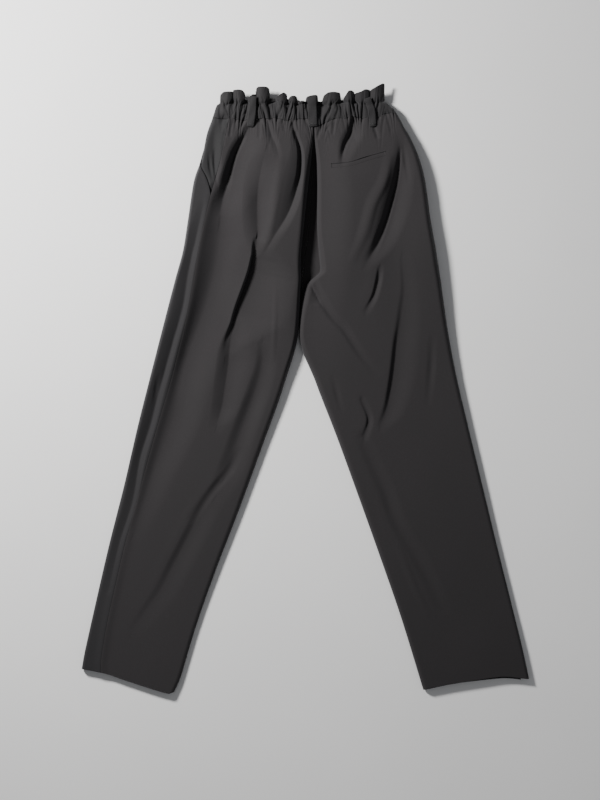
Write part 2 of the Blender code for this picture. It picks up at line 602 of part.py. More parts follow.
def cloth_tree(obj):
    """Search tree of a piece's outer face."""
    mesh = bmesh.new()
    mesh.from_mesh(obj.data)
    tree = BVHTree.FromBMesh(mesh)
    mesh.free()
    return tree


def highest_near(trees, x, y, reach):
    best = -1.0
    for i in range(-2, 3):
        for j in range(-2, 3):
            best = max(best, surface_height(trees, x + i * reach / 2.0, y + j * reach / 2.0))
    return best


def belt_loop(name, top, bottom, width, trees):
    """A loop strip bridging the casing, its ends down on the cloth."""
    stations = 9
    outer = []
    dx = bottom[0] - top[0]
    dy = bottom[1] - top[1]
    size = math.hypot(dx, dy)
    side = (-dy / size, dx / size)
    heights = []
    for i in range(stations):
        u = i / (stations - 1.0)
        heights.append(max(highest_near(trees, top[0] + dx * u + side[0] * width * k,
                                        top[1] + dy * u + side[1] * width * k, 1.2)
                           for k in (-0.5, -0.33, -0.17, 0.0, 0.17, 0.33, 0.5)))
    for i in range(stations):
        u = i / (stations - 1.0)
        low = heights[i]
        if 0 < i < stations - 1:
            low = max(heights[i - 1], heights[i], heights[i + 1])
        base = low + SEAM_GAP + 1.4 * math.sin(math.pi * u)
        line = []
        for k in (-0.5, -0.2, 0.2, 0.5):
            x = top[0] + dx * u + side[0] * width * k
            y = top[1] + dy * u + side[1] * width * k
            line.append((x, y, base + TRIM_CLOTH + (0.3 if abs(k) < 0.3 else 0.0)))
        outer.append(line)
    return trim_strip(name, outer)


def welt(name, trees):
    """Pocket welt lying on the right back panel."""
    points = np.array(WELT + WELT_TAIL)
    t = np.arange(len(points))
    fine = np.linspace(0.0, len(points) - 1.0, 13)
    xs = np.interp(fine, t, points[:, 0])
    ys = np.interp(fine, t, points[:, 1])
    outer = []
    for i in range(len(fine)):
        line = []
        a = max(i - 1, 0)
        b = min(i + 1, len(fine) - 1)
        dx = xs[b] - xs[a]
        dy = ys[b] - ys[a]
        size = math.hypot(dx, dy)
        for k in (1.0, 0.7, 0.35, 0.0):
            x = xs[i] + dy / size * WELT_HEIGHT * k
            y = ys[i] - dx / size * WELT_HEIGHT * k
            base = highest_near(trees, x, y, 5.0) + SEAM_GAP
            line.append((x, y, base + TRIM_CLOTH))
        outer.append(line)
    return trim_strip(name, outer)


def build():
    for obj in list(bpy.data.objects):
        bpy.data.objects.remove(obj, do_unlink=True)
    collection = bpy.data.collections.new(NAME)
    bpy.context.scene.collection.children.link(collection)
    back_left = panel("back_left", LEFT_LEG, LEFT_HEM, LEFT_MOUTH, True, 29, 1.0)
    back_right = panel("back_right", RIGHT_LEG, RIGHT_HEM, RIGHT_MOUTH, True, 30, 1.0)
    panel("front_left", LEFT_LEG, LEFT_HEM, LEFT_MOUTH, False, 14, 0.25)
    panel("front_right", RIGHT_LEG, RIGHT_HEM, RIGHT_MOUTH, False, 8, 0.25)
    facing("pocket_facing_left", LEFT_LEG, LEFT_MOUTH, 16)
    facing("pocket_facing_right", RIGHT_LEG, RIGHT_MOUTH, 12)
    band_back = waistband("waistband_back", True, 100)
    waistband("waistband_front", False, 84)
    trees = [cloth_tree(back_left), cloth_tree(back_right), cloth_tree(band_back)]
    for name, top, bottom, width in LOOPS:
        belt_loop(name, top, bottom, width, trees)
    welt("welt_back_right", trees[1:2])


build()
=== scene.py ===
"""Looks of the paperbag waist trousers: cloth, seams, stitching, floor, light and camera.

Tables are in millimetres and share the solids' frame: waist toward +Y, hems toward -Y,
the wearer's left side at -X, the front panels down on z = 0.
"""

import math

import bpy
import numpy as np
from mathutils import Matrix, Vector
from mathutils.bvhtree import BVHTree


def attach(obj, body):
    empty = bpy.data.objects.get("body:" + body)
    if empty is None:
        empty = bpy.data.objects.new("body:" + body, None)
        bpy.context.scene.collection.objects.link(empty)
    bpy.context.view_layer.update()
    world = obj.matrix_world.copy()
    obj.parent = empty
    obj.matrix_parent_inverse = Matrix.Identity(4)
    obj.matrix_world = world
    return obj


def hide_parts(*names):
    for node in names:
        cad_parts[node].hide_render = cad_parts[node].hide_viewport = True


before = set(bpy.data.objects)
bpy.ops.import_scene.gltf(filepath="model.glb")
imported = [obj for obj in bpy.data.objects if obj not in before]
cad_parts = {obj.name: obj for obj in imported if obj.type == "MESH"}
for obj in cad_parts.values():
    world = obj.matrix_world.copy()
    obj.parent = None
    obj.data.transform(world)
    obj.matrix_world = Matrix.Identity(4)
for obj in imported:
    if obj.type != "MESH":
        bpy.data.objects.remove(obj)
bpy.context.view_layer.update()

MM = 0.001
# Moves the middle of the footprint to the origin.
CENTRING = (0.138, 0.350)
# Clearance over the floor and across a seam; thickness of a folded seam edge.
LOWEST = 0.02
SEAM_GAP = 0.08
LAYER = 1.1
SEAM_ALLOWANCE = 9.0
HEM_TURN = 30.0
HEM_RADIUS = 0.8
# How far a facing runs behind the front panel, and how deep it sinks there.
TUCK_DEPTH = 14.0
MOUTH_SINK = 2.1
WAIST_SEAM_Y = 466.0
# Rise over the waist seam of the stitching below the header, and of its free edge.
HEADER_RISE = 26.0
HEADER_TOP = 54.0
# Where the underside's gathers lie along the pattern of the back's.
FRONT_OFFSET = 37.0

# One row per cross section, waist seam to hem.  outer/inner: ends of the section seen from
# above.  crown: height of the upper face.  drop: height where the outer edge is vertical.
# edge: width of the outer shoulder.  roll: width of the shoulder at the inner edge.
# end: height of the back's inner edge.  corner: lower inner radius.  side: side seam from the
# outer edge, minus when under.  inseam: how far under the inner edge the inseam lies.
# ledge: low strip beside the inner edge before the shoulder rises.  over: how far the
# shoulder hangs over that strip.
LEG_COLUMNS = ("outer_x", "outer_y", "inner_x", "inner_y", "crown", "drop", "edge", "roll", "end",
               "corner", "side", "inseam", "ledge", "over")
LEFT_LEG = (
    (-161, 465.85, 14.98, 465.85, 19, 8, 8, 3, 16.5, 1.6, 29, 0, 0, 0),
    (-170, 439, 14.98, 434, 22, 8, 7, 5, 12, 1.6, 33, 0, 1.5, 0.5),
    (-180, 396, 12.98, 391, 26, 8, 6, 6.5, 4.5, 1.6, 34, 0, 4, 1.5),
    (-192, 361, 10.98, 353, 27.5, 8, 6, 8, 3.4, 1.6, 36, 0, 6.5, 2.5),
    (-203, 291, 5.98, 282, 27.5, 7.5, 6, 9, 3.2, 1.6, 29.5, 0, 9.5, 3),
    (-211, 241, -1.02, 230, 26.5, 7, 6, 8, 3, 1.6, 27, 0, 7.5, 2.5),
    (-225, 189, -7.02, 178, 24, 7, 6, 6, 1.6, 1.6, 32.5, 0, 2, 1.2),
    (-244, 116, -12.6, 97, 20.5, 6.5, 6, 8, 3, 3, 37, 9, 0, 0),
    (-265, 34, -37, 8, 17, 6, 6, 9.5, 4, 4, 37.5, 17, 0, 0),
    (-289, -61, -75, -99, 14.5, 5.5, 6, 9.5, 4.5, 4.5, 33.5, 22, 0, 0),
    (-313, -165, -116, -211, 13, 5, 6, 8.5, 4.5, 4.5, 29, 23, 0, 0),
    (-339, -268, -156, -315, 12, 5, 5.8, 8, 4.5, 4.5, 27, 23, 0, 0),
    (-363, -372, -191, -415, 11.5, 5, 5.5, 7.5, 4.5, 4.5, 27, 23, 0, 0),
    (-382, -458, -217, -501, 11.5, 5, 5.5, 7.5, 4.5, 4.5, 31, 23, 0, 0),
    (-387, -485, -227, -525, 11.5, 5, 5.5, 7.5, 4.5, 4.5, 34, 23, 0, 0),
)
RIGHT_LEG = (
    (160, 465.85, 15.02, 465.85, 19, 8, 8, 3, 16.5, 1.6, -14, 0, 0, 0),
    (178, 439, 15.02, 434, 22, 8, 8.5, 5, 12, 1.6, -14, 0, 0.5, 0),
    (197, 396, 13.02, 391, 26, 8, 10, 7, 4.5, 1.6, -14, 0, 6, 0),
    (206, 361, 11.02, 353, 27.5, 8, 11, 8, 3.4, 1.6, -14, 0, 9, 0),
    (216, 291, 6.02, 282, 27.5, 7.5, 11, 8, 3.2, 1.6, -14, 0, 14, 0),
    (225, 241, -0.98, 230, 26.5, 7, 11, 10, 3, 1.6, -14, 0, 25, 0),
    (229, 214, -4, 203, 25.2, 7, 11, 11, 2.4, 1.6, -14, 0, 29.5, 0),
    (233, 189, -6.98, 178, 23.5, 7, 10.5, 12, 1.6, 1.6, -14, 0, 8, 0),
    (244, 111, -11.4, 97, 19.5, 6.5, 9.5, 9, 3, 3, -14, 9, 0, 0),
    (258, 34, 18, 11, 16.5, 6, 8.5, 10, 4, 4, -14, 17, 0, 0),
    (280, -61, 54, -82, 14.5, 5.5, 7.5, 9.5, 4.5, 4.5, -14, 22, 0, 0),
    (303, -156, 89, -178, 13, 5, 7, 8.5, 4.5, 4.5, -14, 23, 0, 0),
    (330, -268, 128, -287, 12, 5, 6.5, 8, 4.5, 4.5, -14, 23, 0, 0),
    (356, -372, 165, -394, 11.5, 5, 6, 7.5, 4.5, 4.5, -14, 23, 0, 0),
    (377, -458, 191, -478, 11.5, 5, 6, 7.5, 4.5, 4.5, -14, 23, 0, 0),
    (386, -503, 203, -518, 11.5, 5, 6, 7.5, 4.5, 4.5, -14, 23, 0, 0),
)
# Slant pocket mouths: station, distance of the mouth from the side seam round the section.
LEFT_MOUTH = ((0, 68), (1.2, 54), (2, 41), (3, 13), (3.4, 0))
RIGHT_MOUTH = ((0, 42), (1.2, 34), (2, 24), (3, 8), (3.4, 0))
# Hem line: fraction outer to inner, how much shorter than the straight hem at back and front.
LEFT_HEM = ((0, 4, 4), (0.21, 6.5, 6), (0.5, 3, 3), (0.94, -1, 0.5), (1, 4, 4))
RIGHT_HEM = ((0, 4.5, 1.7), (0.27, 12.5, 9), (0.5, 10, 8), (0.75, 6.5, 6), (1, 0.5, 1))

# Folds of the back panels: sharp, lip, then rows of place (x, y), width toward -X, width
# toward +X, depth (minus for a ridge).  sharp: 0 for a soft trough, above 0 how far the -X
# side leans over it, below 0 minus the power of a creased bottom.  lip: height of a rim
# beside it, or -1 where a creased fold is round on its +X side.
FOLDS = (
    # left side: hip and side strip
    (-1.5, -1, (-95, 458, 10, 24, 3.5), (-106, 436, 13, 44, 8), (-119, 411, 14, 58, 11.5),
     (-129, 378, 14, 64, 13), (-137, 350, 17, 60, 10), (-143, 326, 18, 50, 5),
     (-147, 300, 18, 36, 1)),
    (-1.2, 0, (-106, 436, 7, 6, 2), (-119, 411, 7, 6, 5.5), (-129, 380, 9, 6, 5.5),
     (-135, 352, 11, 8, 2.5), (-142, 327, 10, 10, 1), (-147, 305, 10, 10, 0.3)),
    (0, 0, (-136, 350, 28, 40, 2.5), (-139, 327, 34, 46, 7.5), (-145, 266, 41, 60, 12.5),
     (-155, 206, 40, 62, 13.5), (-174, 137, 34, 62, 13), (-204, 51, 29, 60, 11),
     (-216, 8, 31, 56, 9.5), (-223, -35, 34, 52, 8), (-241, -90, 30, 46, 6.2),
     (-260, -139, 25, 40, 4.5), (-276, -190, 21, 34, 2.6), (-294, -240, 16, 28, 0.8)),
    (-1.3, 0, (-175, 318, 10, 7, 1), (-187, 263, 17, 8, 5), (-200, 206, 18, 9, 7),
     (-212, 137, 18, 9, 8), (-229, 78, 19, 9, 8.6), (-243, 28, 19, 9, 9), (-254, -10, 19, 9, 9),
     (-265, -54, 18, 9, 9), (-284, -116, 17, 9, 8), (-298, -194, 15, 8, 5.4),
     (-320, -263, 13, 7, 3), (-339, -346, 11, 7, 0.8)),
    # left side: seat
    (-1.6, 0, (-22, 461, 7, 4, 2.5), (-16.4, 438.8, 10, 4.5, 4.8), (-8.1, 413, 20, 5, 7),
     (-7.8, 378.4, 28, 6, 10), (-13, 352.6, 28, 9, 11), (-20, 326.7, 27, 12, 11),
     (-31, 300, 24, 13, 7.5), (-52, 266, 18, 13, 3), (-70, 235, 14, 12, 0.6)),
    (-1.1, 0, (-17, 443, 6, 3.5, 3), (-8.6, 413, 6, 3.5, 6), (-7.8, 390, 7, 3.5, 7),
     (-9, 368, 8, 4, 6), (-14, 345, 9, 6, 2.5), (-20, 325, 9, 8, 0.5)),
    (-1.3, -1, (-70, 405, 16, 30, 1.2), (-75, 385, 24, 36, 4.5), (-81, 352, 26, 38, 8),
     (-83, 327, 26, 38, 10.5), (-83, 292, 26, 34, 9.5), (-83, 266, 24, 26, 7.5),
     (-86, 240, 14, 14, 2)),
    (0, 0, (-40, 396, 12, 12, -0.6), (-48, 354, 12, 12, -1.2), (-54, 320, 12, 12, -1.2),
     (-60, 275, 10, 10, -0.6)),
    # left side: thigh, knee and shin
    (1.2, 0, (-86, 256, 7, 20, 1.5), (-89, 242, 8, 44, 6), (-92.5, 226, 9, 66, 11),
     (-97, 206, 10, 84, 13.5), (-108.5, 172, 11, 90, 14), (-121, 137, 12, 88, 12.5),
     (-129, 108, 12, 64, 8), (-135, 82, 13, 36, 3), (-138, 62, 12, 16, 0.5)),
    (-1.3, -1, (-122, 124, 12, 20, 1), (-127, 98, 18, 34, 4), (-131, 72, 20, 44, 7.5),
     (-133, 48, 21, 46, 8.8), (-138.5, 8, 20, 40, 6.6), (-145, -32, 18, 32, 5.4),
     (-153, -60, 14, 20, 1)),
    (0, 0, (-74, 77, 11, 22, 1), (-73, 48, 14, 26, 3.4), (-83, 4, 18, 28, 4.8),
     (-96, -33, 19, 28, 5.6), (-113, -80, 20, 30, 4.8), (-131, -134, 22, 32, 3.8),
     (-151, -175, 18, 28, 1)),
    (0, 0, (-116, -108, 10, 12, 0.4), (-130, -137, 10, 12, 1.8), (-158, -170, 10, 12, 2),
     (-197, -223, 10, 12, 0.5)),
    (0, 0.5, (-149, -165, 12, 28, 0.8), (-177, -206, 13, 31, 2.8), (-201, -253, 14, 33, 3.5),
     (-216, -282, 14, 33, 3.5), (-232, -313, 14, 33, 3), (-246, -341, 14, 31, 2.2),
     (-273, -380, 12, 28, 1.2), (-297, -415, 12, 24, 0.3)),
    # left side: small lines, pocket mouth and gathers
    (0, 0, (-52, 172, 7, 7, -0.3), (-53, 111, 7, 7, -0.9), (-56, 51, 7, 7, -0.3)),
    (0, 0, (-254, 23, 5, 7, 0.3), (-258, -1, 5, 7, 1.6), (-261, -25, 5, 7, 0.3)),
    (0, 0, (-166, 404, 4, 5, 0.6), (-165, 385, 4, 6, 2.6), (-160, 362, 4, 6, 0.8)),
    (0, 0, (-156, 412, 4, 5, 0.5), (-157, 392, 4, 6, 2.2), (-155, 372, 4, 5, 2.6),
     (-152, 352, 4, 5, 0.6)),
    (0, 0, (-106, 468, 5, 7, 1.6), (-116, 441, 5, 7, 1)),
    (0, 0, (-125, 468, 4, 5, 1.8), (-130, 437, 4, 5, 1.2)),
    (0, 0, (-78, 468, 5, 5, 2), (-80, 435, 5, 5, 1.2)),
    (-1.5, 0, (-66, 468, 6, 5, 3.2), (-59, 440, 12, 8, 5), (-50, 418, 10, 8, 2),
     (-46, 400, 8, 8, 0.4)),
    (0, 0, (-39, 468, 5, 5, 1.4), (-37, 447, 5, 5, 0.6)),
    # right side: waist and hip
    (-1.1, 0, (81, 460, 4, 3, 0.6), (79.5, 447, 6, 4, 3.4), (75.5, 436, 6, 5, 4),
     (69.5, 425, 6, 5, 3.2), (65.5, 412, 6, 5, 3), (62.5, 398, 6, 5, 0.6)),
    (-1.7, -1, (84, 466, 8, 14, 5), (81, 452.6, 12, 20, 8), (77, 438.8, 14, 24, 9),
     (70, 426.7, 13, 24, 7), (65.5, 413, 11, 22, 5), (62.5, 395.7, 8, 18, 2.4),
     (61, 384, 7, 10, 0.4)),
    (-1.7, -1, (158, 430, 8, 20, 0.6), (162.5, 413, 12, 24, 2), (161, 392, 16, 28, 4.5),
     (159.5, 378.4, 18, 30, 6.5), (157, 361.2, 20, 32, 7.8), (153.4, 344, 22, 34, 8.4),
     (149, 326.7, 24, 36, 9), (144, 309.5, 25, 36, 9.2), (139, 290.5, 25, 34, 9.2),
     (130.5, 266.4, 22, 32, 8.2), (123.5, 249.1, 19, 28, 6.2), (114.4, 233.6, 15, 22, 4),
     (103.3, 216.4, 12, 16, 0.8)),
    (0, 0, (172, 430, 20, 80, 0.6), (168, 380, 26, 90, 3.4), (160, 330, 30, 100, 5),
     (156, 280, 40, 100, 4.6), (158, 230, 50, 100, 3.4), (164, 180, 56, 96, 2),
     (172, 130, 60, 92, 1), (182, 80, 60, 90, 0.2)),
    (-1.1, 0, (163, 413, 5, 4, 0.8), (160, 380, 6, 4, 4), (154, 348, 7, 5, 5),
     (148.5, 326.7, 7, 5, 6), (143, 306, 8, 5, 6), (136, 285, 8, 6, 5.5), (128, 264, 9, 7, 4.5),
     (119, 243, 9, 8, 2.5), (110, 227, 8, 8, 0.5)),
    (0, 0, (143, 400, 12, 9, -0.5), (137, 361, 16, 10, -2), (118, 320, 18, 10, -2.6),
     (101, 266, 16, 12, -2.4), (82, 225, 12, 12, -0.6)),
    (0, 0, (168, 416, 5, 7, 0.4), (172, 391, 5, 7, 1.6), (177, 358, 5, 7, 0.4)),
    # right side: thigh, knee and shin
    (1.4, 0.4, (127, 209, 5, 9, 1), (123, 189, 5, 9, 4), (116, 161, 5, 9, 3.4),
     (104, 135, 7, 9, 0.8)),
    (0.8, 0, (166, 227, 6, 20, 0.4), (170, 168, 9, 26, 1.6), (166.5, 137, 11, 34, 2.2),
     (161.5, 105, 11, 38, 3.4), (157.5, 84, 11, 40, 4.6), (153.5, 51, 11, 42, 5.2),
     (149, 16, 11, 40, 5.4), (145, -9, 11, 36, 5), (140.5, -35, 12, 30, 4),
     (130, -61, 8, 16, 0.8)),
    (1.4, 0.4, (96, -18, 5, 9, 1.2), (108, -53, 5, 9, 3.2), (101, -80, 7, 10, 1.5)),
    (0, 0.4, (97, -84, 14, 19, 0.8), (116, -128, 14, 21, 1.8), (139, -180, 14, 21, 2.2),
     (149, -211, 14, 21, 2.4), (163, -242, 14, 21, 2.4), (191, -287, 14, 21, 2.2),
     (215, -332, 14, 21, 1.6), (237, -377, 14, 19, 0.4)),
    (0, 0, (159, -268, 10, 9, -0.3), (185, -334, 10, 9, -0.9), (211, -387, 10, 9, -0.3)),
    # crotch and the slopes beside the seat seam
    (1.3, 0, (11, 189, 10, 12, 2.2), (22, 161, 10, 12, 3.6), (46, 123, 10, 12, 3.3),
     (65, 103, 10, 12, 3), (78, 84, 10, 12, 2.4), (96, 58, 10, 12, 1.6), (122, 30, 10, 12, 0.4)),
    (-1.3, 0, (4, 189, 8, 3, 2), (11, 173, 13, 3, 5.5), (20, 157, 18, 3, 6),
     (26, 146, 13, 3, 1.4)),
    (0, 0, (18, 446, 16, 36, 1.5), (17, 415, 18, 52, 5), (16, 391, 20, 62, 7.5),
     (14, 353, 20, 70, 9.5), (12, 300, 20, 72, 10.5), (12, 250, 22, 72, 9.6),
     (12, 218, 26, 70, 8), (10, 190, 28, 68, 6.4), (5, 150, 30, 66, 4.4), (0, 105, 30, 64, 2.4),
     (10, 50, 30, 60, 0.8), (24, 5, 30, 56, 0.1)),
    (-1.3, -1, (-157, 444, 10, 12, 1), (-159, 420, 16, 14, 3.6), (-157.5, 400, 18, 14, 5),
     (-156, 378, 18, 14, 5.5), (-158, 355, 16, 12, 3), (-164, 335, 12, 12, 0.6)),
    # right side: faint hollows and gathers
    (0, 0, (218, 89, 9, 10, 0.3), (216, 37, 9, 10, 1.5), (211, -22, 9, 10, 0.3)),
    (0, 0, (47, 20, 7, 9, 0.3), (54, -8, 7, 9, 1.2), (61, -35, 7, 9, 0.3)),
    (0, 0, (28, 468, 5, 5, 2.2), (20, 434, 5, 5, 1.2)),
    (0, 0, (49, 468, 4, 5, 1.8), (47, 441, 5, 5, 1)),
    (0, 0, (113, 468, 5, 5, 2.2), (123, 434, 5, 6, 1.4)),
    (0, 0, (139, 468, 5, 5, 1.6), (147, 442, 5, 5, 1)),
)
# Folds of the underside, which press inward.
UNDER_FOLDS = (
    (0, 0, (-118, 455, 9, 12, 1.2), (-126, 400, 11, 15, 2.6), (-139, 330, 12, 17, 2.4),
     (-152, 262, 12, 17, 0.8)),
    (0, 0, (-62, 458, 8, 9, 1), (-70, 404, 11, 13, 2.2), (-86, 338, 12, 14, 1.8),
     (-104, 280, 12, 14, 0.6)),
    (0, 0, (58, 458, 8, 9, 1.2), (71, 396, 12, 12, 2.4), (90, 320, 13, 13, 1.9),
     (104, 262, 12, 12, 0.6)),
    (0, 0, (112, 452, 8, 9, 0.8), (128, 398, 10, 12, 1.8), (142, 344, 10, 12, 0.5)),
    (0, 0, (14, 232, 9, 9, 0.5), (40, 196, 12, 12, 2.4), (78, 150, 13, 13, 1.8),
     (118, 108, 12, 12, 0.5)),
    (0, 0, (-16, 226, 9, 9, 0.5), (-46, 190, 12, 12, 2.2), (-86, 142, 13, 13, 1.6),
     (-122, 106, 12, 12, 0.4)),
    (0, 0, (-120, 60, 12, 14, 0.4), (-150, -28, 15, 17, 2), (-186, -128, 16, 18, 2.2),
     (-226, -232, 15, 17, 0.6)),
    (0, 0, (126, 56, 12, 14, 0.4), (152, -34, 15, 17, 1.8), (184, -138, 16, 18, 2.2),
     (222, -250, 15, 17, 0.6)),
    (0, 0, (-262, -236, 12, 12, 0.3), (-282, -322, 14, 14, 1.5), (-300, -404, 12, 12, 0.3)),
    (0, 0, (262, -250, 12, 12, 0.3), (284, -336, 14, 14, 1.4), (304, -420, 12, 12, 0.3)),
)
# Soft fullness of the back: centre, half sizes, height.
FULLNESS = (
    (-55, 320, 50, 110, 2.5), (75, 315, 60, 110, 3), (-185, 150, 35, 150, 1.5),
    (200, 250, 30, 150, 1), (-40, 120, 30, 90, 2), (60, 60, 45, 90, 1),
)
# Slow unevenness of laid cloth: wave number across and along (per mm), phase, height.
UNEVEN = (
    (0.021, 0.009, 0.4, 0.28), (-0.013, 0.017, 2.1, 0.26), (0.034, -0.012, 4, 0.16),
    (0.047, 0.021, 1.2, 0.1), (-0.058, 0.026, 5.1, 0.07), (0.012, 0.041, 3.3, 0.09),
)

# Waistband levels: rise over the waist seam, both ends, height of the upper face.
BAND_COLUMNS = ("rise", "left", "right", "crown")
BAND = (
    (0.15, -161, 160, 19), (9, -158, 153, 19), (22, -154.5, 142, 18.5), (30, -150.5, 136.8, 18),
    (40, -148.5, 136, 18.3), (54, -147, 137, 19),
)
# Height where its ends are vertical, width of its shoulders, and the side seams' distance
# from its left end on top and from its right end underneath.
BAND_DROP = 8.0
BAND_EDGE = 8.0
BAND_SIDE_LEFT = 30.0
BAND_SIDE_RIGHT = 14.0
BAND_THICK = 1.15
# Reach of the rolled free edge; radius and allowance of the turned ends.
BAND_ROLL = 0.62
BAND_TURN = (0.4, 5.0)
# Mesh of the panels: columns, steps down the leg near the waist and below, and how closely
# the part on the floor is meshed.  Then columns of the facings and the waistbands, and levels
# up the casing and up the header.
BACK_MESH = (190, (2.0, 2.6), 0.6)
FRONT_LEFT_MESH = (96, (2.4, 3.4), 0.45)
FRONT_RIGHT_MESH = (84, (2.4, 3.4), 0.6)
FACING_COLUMNS = (46, 34)
BAND_MESH = (620, 480)
CASING_LEVELS = np.linspace(0.45, 24.5, 16)
HEADER_LEVELS = np.linspace(25.3, 53.6, 19)
PUCKER_PITCH = 9.6
# Flutes of the header: centre, half width, height of the crest.
BACK_FLUTES = (
    (-136, 11.6, 3.6), (-114.2, 10.6, 4.4), (-91.8, 7, 3), (-73.5, 11.8, 5), (-41, 9.4, 4.2),
    (-21.8, 7, 3.4), (-6.5, 6.2, 1.6), (11, 10.2, 3.4), (44.8, 16, 4.8), (75, 9.3, 4.6),
    (97.8, 14, 3.8), (124, 12.8, 4.6),
)
FRONT_FLUTES = (
    (-137, 10, 2.4), (-116, 11, 3), (-92, 9.5, 2.6), (-72, 11, 3.2), (-41, 12.5, 3),
    (-15, 10, 2.6), (10, 11, 3), (34, 10, 2.4), (54, 10, 3), (78, 11, 2.6), (99, 10, 3),
    (121, 11.5, 2.6),
)
# Free edge of the header: places along it.
BACK_EDGE = (
    (-148, 499), (-144.5, 508), (-139.7, 511.9), (-125.6, 512.4), (-123, 514.9), (-116, 515.4),
    (-109.5, 514.6), (-105.8, 509.3), (-104.4, 501), (-102.4, 498.2), (-98.8, 499.2),
    (-95.7, 503.4), (-91.4, 507.2), (-86.4, 507.8), (-84.8, 515), (-80.2, 520.5), (-67.8, 520.4),
    (-63.4, 516), (-62, 504.3), (-59.4, 500.8), (-51.7, 501.4), (-48.6, 503.6), (-43.1, 507.4),
    (-37.2, 510.3), (-33.8, 507.6), (-32.4, 502), (-29.9, 500.2), (-27.4, 501.4), (-25, 504.4),
    (-18.1, 504.8), (-15.8, 500.9), (-14.8, 496), (-11.5, 494.8), (-6.5, 496.2), (-2.2, 495.6),
    (0.4, 495.2), (2, 500.4), (4.3, 503.4), (11.2, 505.8), (18.1, 506.8), (20.2, 503.6),
    (21.4, 498.6), (25, 497.2), (29, 497.8), (30.8, 501), (33.6, 506.6), (39.7, 510.6),
    (49.8, 511.3), (57.6, 509.9), (59.7, 503.4), (61.2, 498), (65.6, 497.9), (67.8, 502.2),
    (70.7, 508.8), (74.3, 513.2), (78.8, 513.8), (82.9, 510.6), (84.7, 508.6), (88.8, 509.9),
    (95.7, 512.3), (104.1, 516), (108.6, 515.2), (111.7, 514.4), (116.4, 517.2), (122.4, 520.8),
    (128.4, 524.2), (132.9, 526.4), (135.4, 525), (137.6, 519),
)
FRONT_EDGE = (
    (-148, 496), (-140, 502), (-127, 497), (-116, 505), (-104, 496), (-92, 501), (-82, 495.5),
    (-72, 506), (-58, 495), (-41, 501), (-27, 494), (-15, 500), (-3, 494), (10, 501), (24, 494),
    (34, 502), (44, 495), (54, 503), (66, 494.5), (78, 502), (89, 496), (99, 503), (110, 496),
    (121, 505), (137.6, 498),
)
# The waist seam's rise and fall on the back: centre, half width, height.
SEAM_SWAY = ((24, 15, -11), (146, 16, 10), (-100, 16, -3.5), (83, 12, 3), (-30, 12, -3))

# Belt loops: name, places down the loop, width.
LOOPS = (
    ("belt_loop_back_left", ((-90, 504), (-91.5, 478), (-95, 452)), 11),
    ("belt_loop_back_centre", ((11, 504), (11.5, 478), (13, 452)), 14),
    ("belt_loop_back_right", ((106, 501), (113.5, 478), (116, 452)), 11),
)
LOOP_THICK = 1.5
WELT = ((44, 389), (58, 390), (73, 391.5), (85, 394.5),
        (97, 398.5), (110, 402.5), (124, 406.5), (136, 410))
WELT_HEIGHT = 8.0
WELT_THICK = 0.7
# Stitches: length, gap, radius.
LOOP_STITCH = (2.2, 0.6, 0.16)
TACK_STITCH = (2.0, 0.15, 0.2)
BAND_STITCH = (2.4, 0.7, 0.17)
# One stitch: share of its length, fatness, height over the cloth.
STITCH_SHAPE = ((0, 0.5, -0.3), (0.14, 0.95, 0.05), (0.5, 1, 0.16), (0.86, 0.95, 0.05),
                (1, 0.5, -0.3))

# The photo's size and scale, and the pixel where x = y = 0 of the tables lies.
PHOTO_SIZE = (600.0, 800.0)
PIXELS_PER_METRE = 580.0
ORIGIN_PIXEL = (305.5, 389.5)
# The camera's height above the level where the scale holds.
CAMERA_HEIGHT = 4.5
CLOTH_LEVEL = 0.008
SENSOR = 36.0
FLOOR_HALF = 6.0
FLOOR_Z = -0.0006
WORLD = 0.17
WORLD_COLOUR = (0.96, 0.97, 1.0, 1.0)
# Lights: name, place, aim, size, power, colour.
LIGHTS = (
    ("key", (-1.15, 0.88, 1.08), (0.15, 0.25, 0), 0.36, 62, (1, 0.99, 0.975)),
    ("fill", (1.6, -1.2, 2.2), (0, 0, 0), 1.6, 4, (0.96, 0.98, 1)),
)
# Cloths: name, darker and lighter tone, strength of the weave's relief.
CLOTHS = (
    ("charcoal_suiting", (0.0190, 0.0172, 0.0182), (0.0234, 0.0211, 0.0225), 1.0),
    # The band copy is the body suiting painted darker: painted shade that darkens the waistband,
    # header and belt loops.
    ("charcoal_suiting_band", (0.0146, 0.0137, 0.0146), (0.0181, 0.0170, 0.0182), 1.0),
    # The front copy is the body suiting painted darker and cooler: painted shade on the side
    # strip of the front panels.
    ("charcoal_suiting_front", (0.0145, 0.0138, 0.0150), (0.0181, 0.0172, 0.0187), 1.0),
    # The facing copy is the body suiting painted darker: painted shade on the pocket facings.
    ("charcoal_pocketing", (0.0140, 0.0138, 0.0145), (0.0176, 0.0172, 0.0181), 0.8),
)
THREAD_TONES = ((0.010, 0.010, 0.011), (0.022, 0.022, 0.024))
# Cloth pieces: node, cut (width, length) in metres, how held, area of the cut.
SHEETS = (
    ("back_left", (0.33, 1.06), "laid", 0.245),
    ("back_right", (0.35, 1.06), "laid", 0.29),
    ("front_left", (0.31, 1.06), "laid", 0.25),
    ("front_right", (0.27, 1.06), "laid", 0.215),
    ("pocket_facing_left", (0.095, 0.185), "laid", 0.0095),
    ("pocket_facing_right", (0.07, 0.185), "laid", 0.007),
    ("waistband_back", (0.36, 0.12), "gathered", None),
    ("waistband_front", (0.325, 0.112), "gathered", None),
    ("belt_loop_back_left", (0.0125, 0.058), "laid", None),
    ("belt_loop_back_centre", (0.0155, 0.058), "laid", None),
    ("belt_loop_back_right", (0.0125, 0.058), "laid", None),
    ("welt_back_right", (0.01, 0.102), "laid", None),
)
# Quarter turn of a rounded edge, from its flat end and to it.
TURN = np.linspace(0.0, math.pi / 2.0, 24)[1:]
BACK_TURN = np.linspace(math.pi / 2.0, 0.0, 24)[1:]


# ---- curves

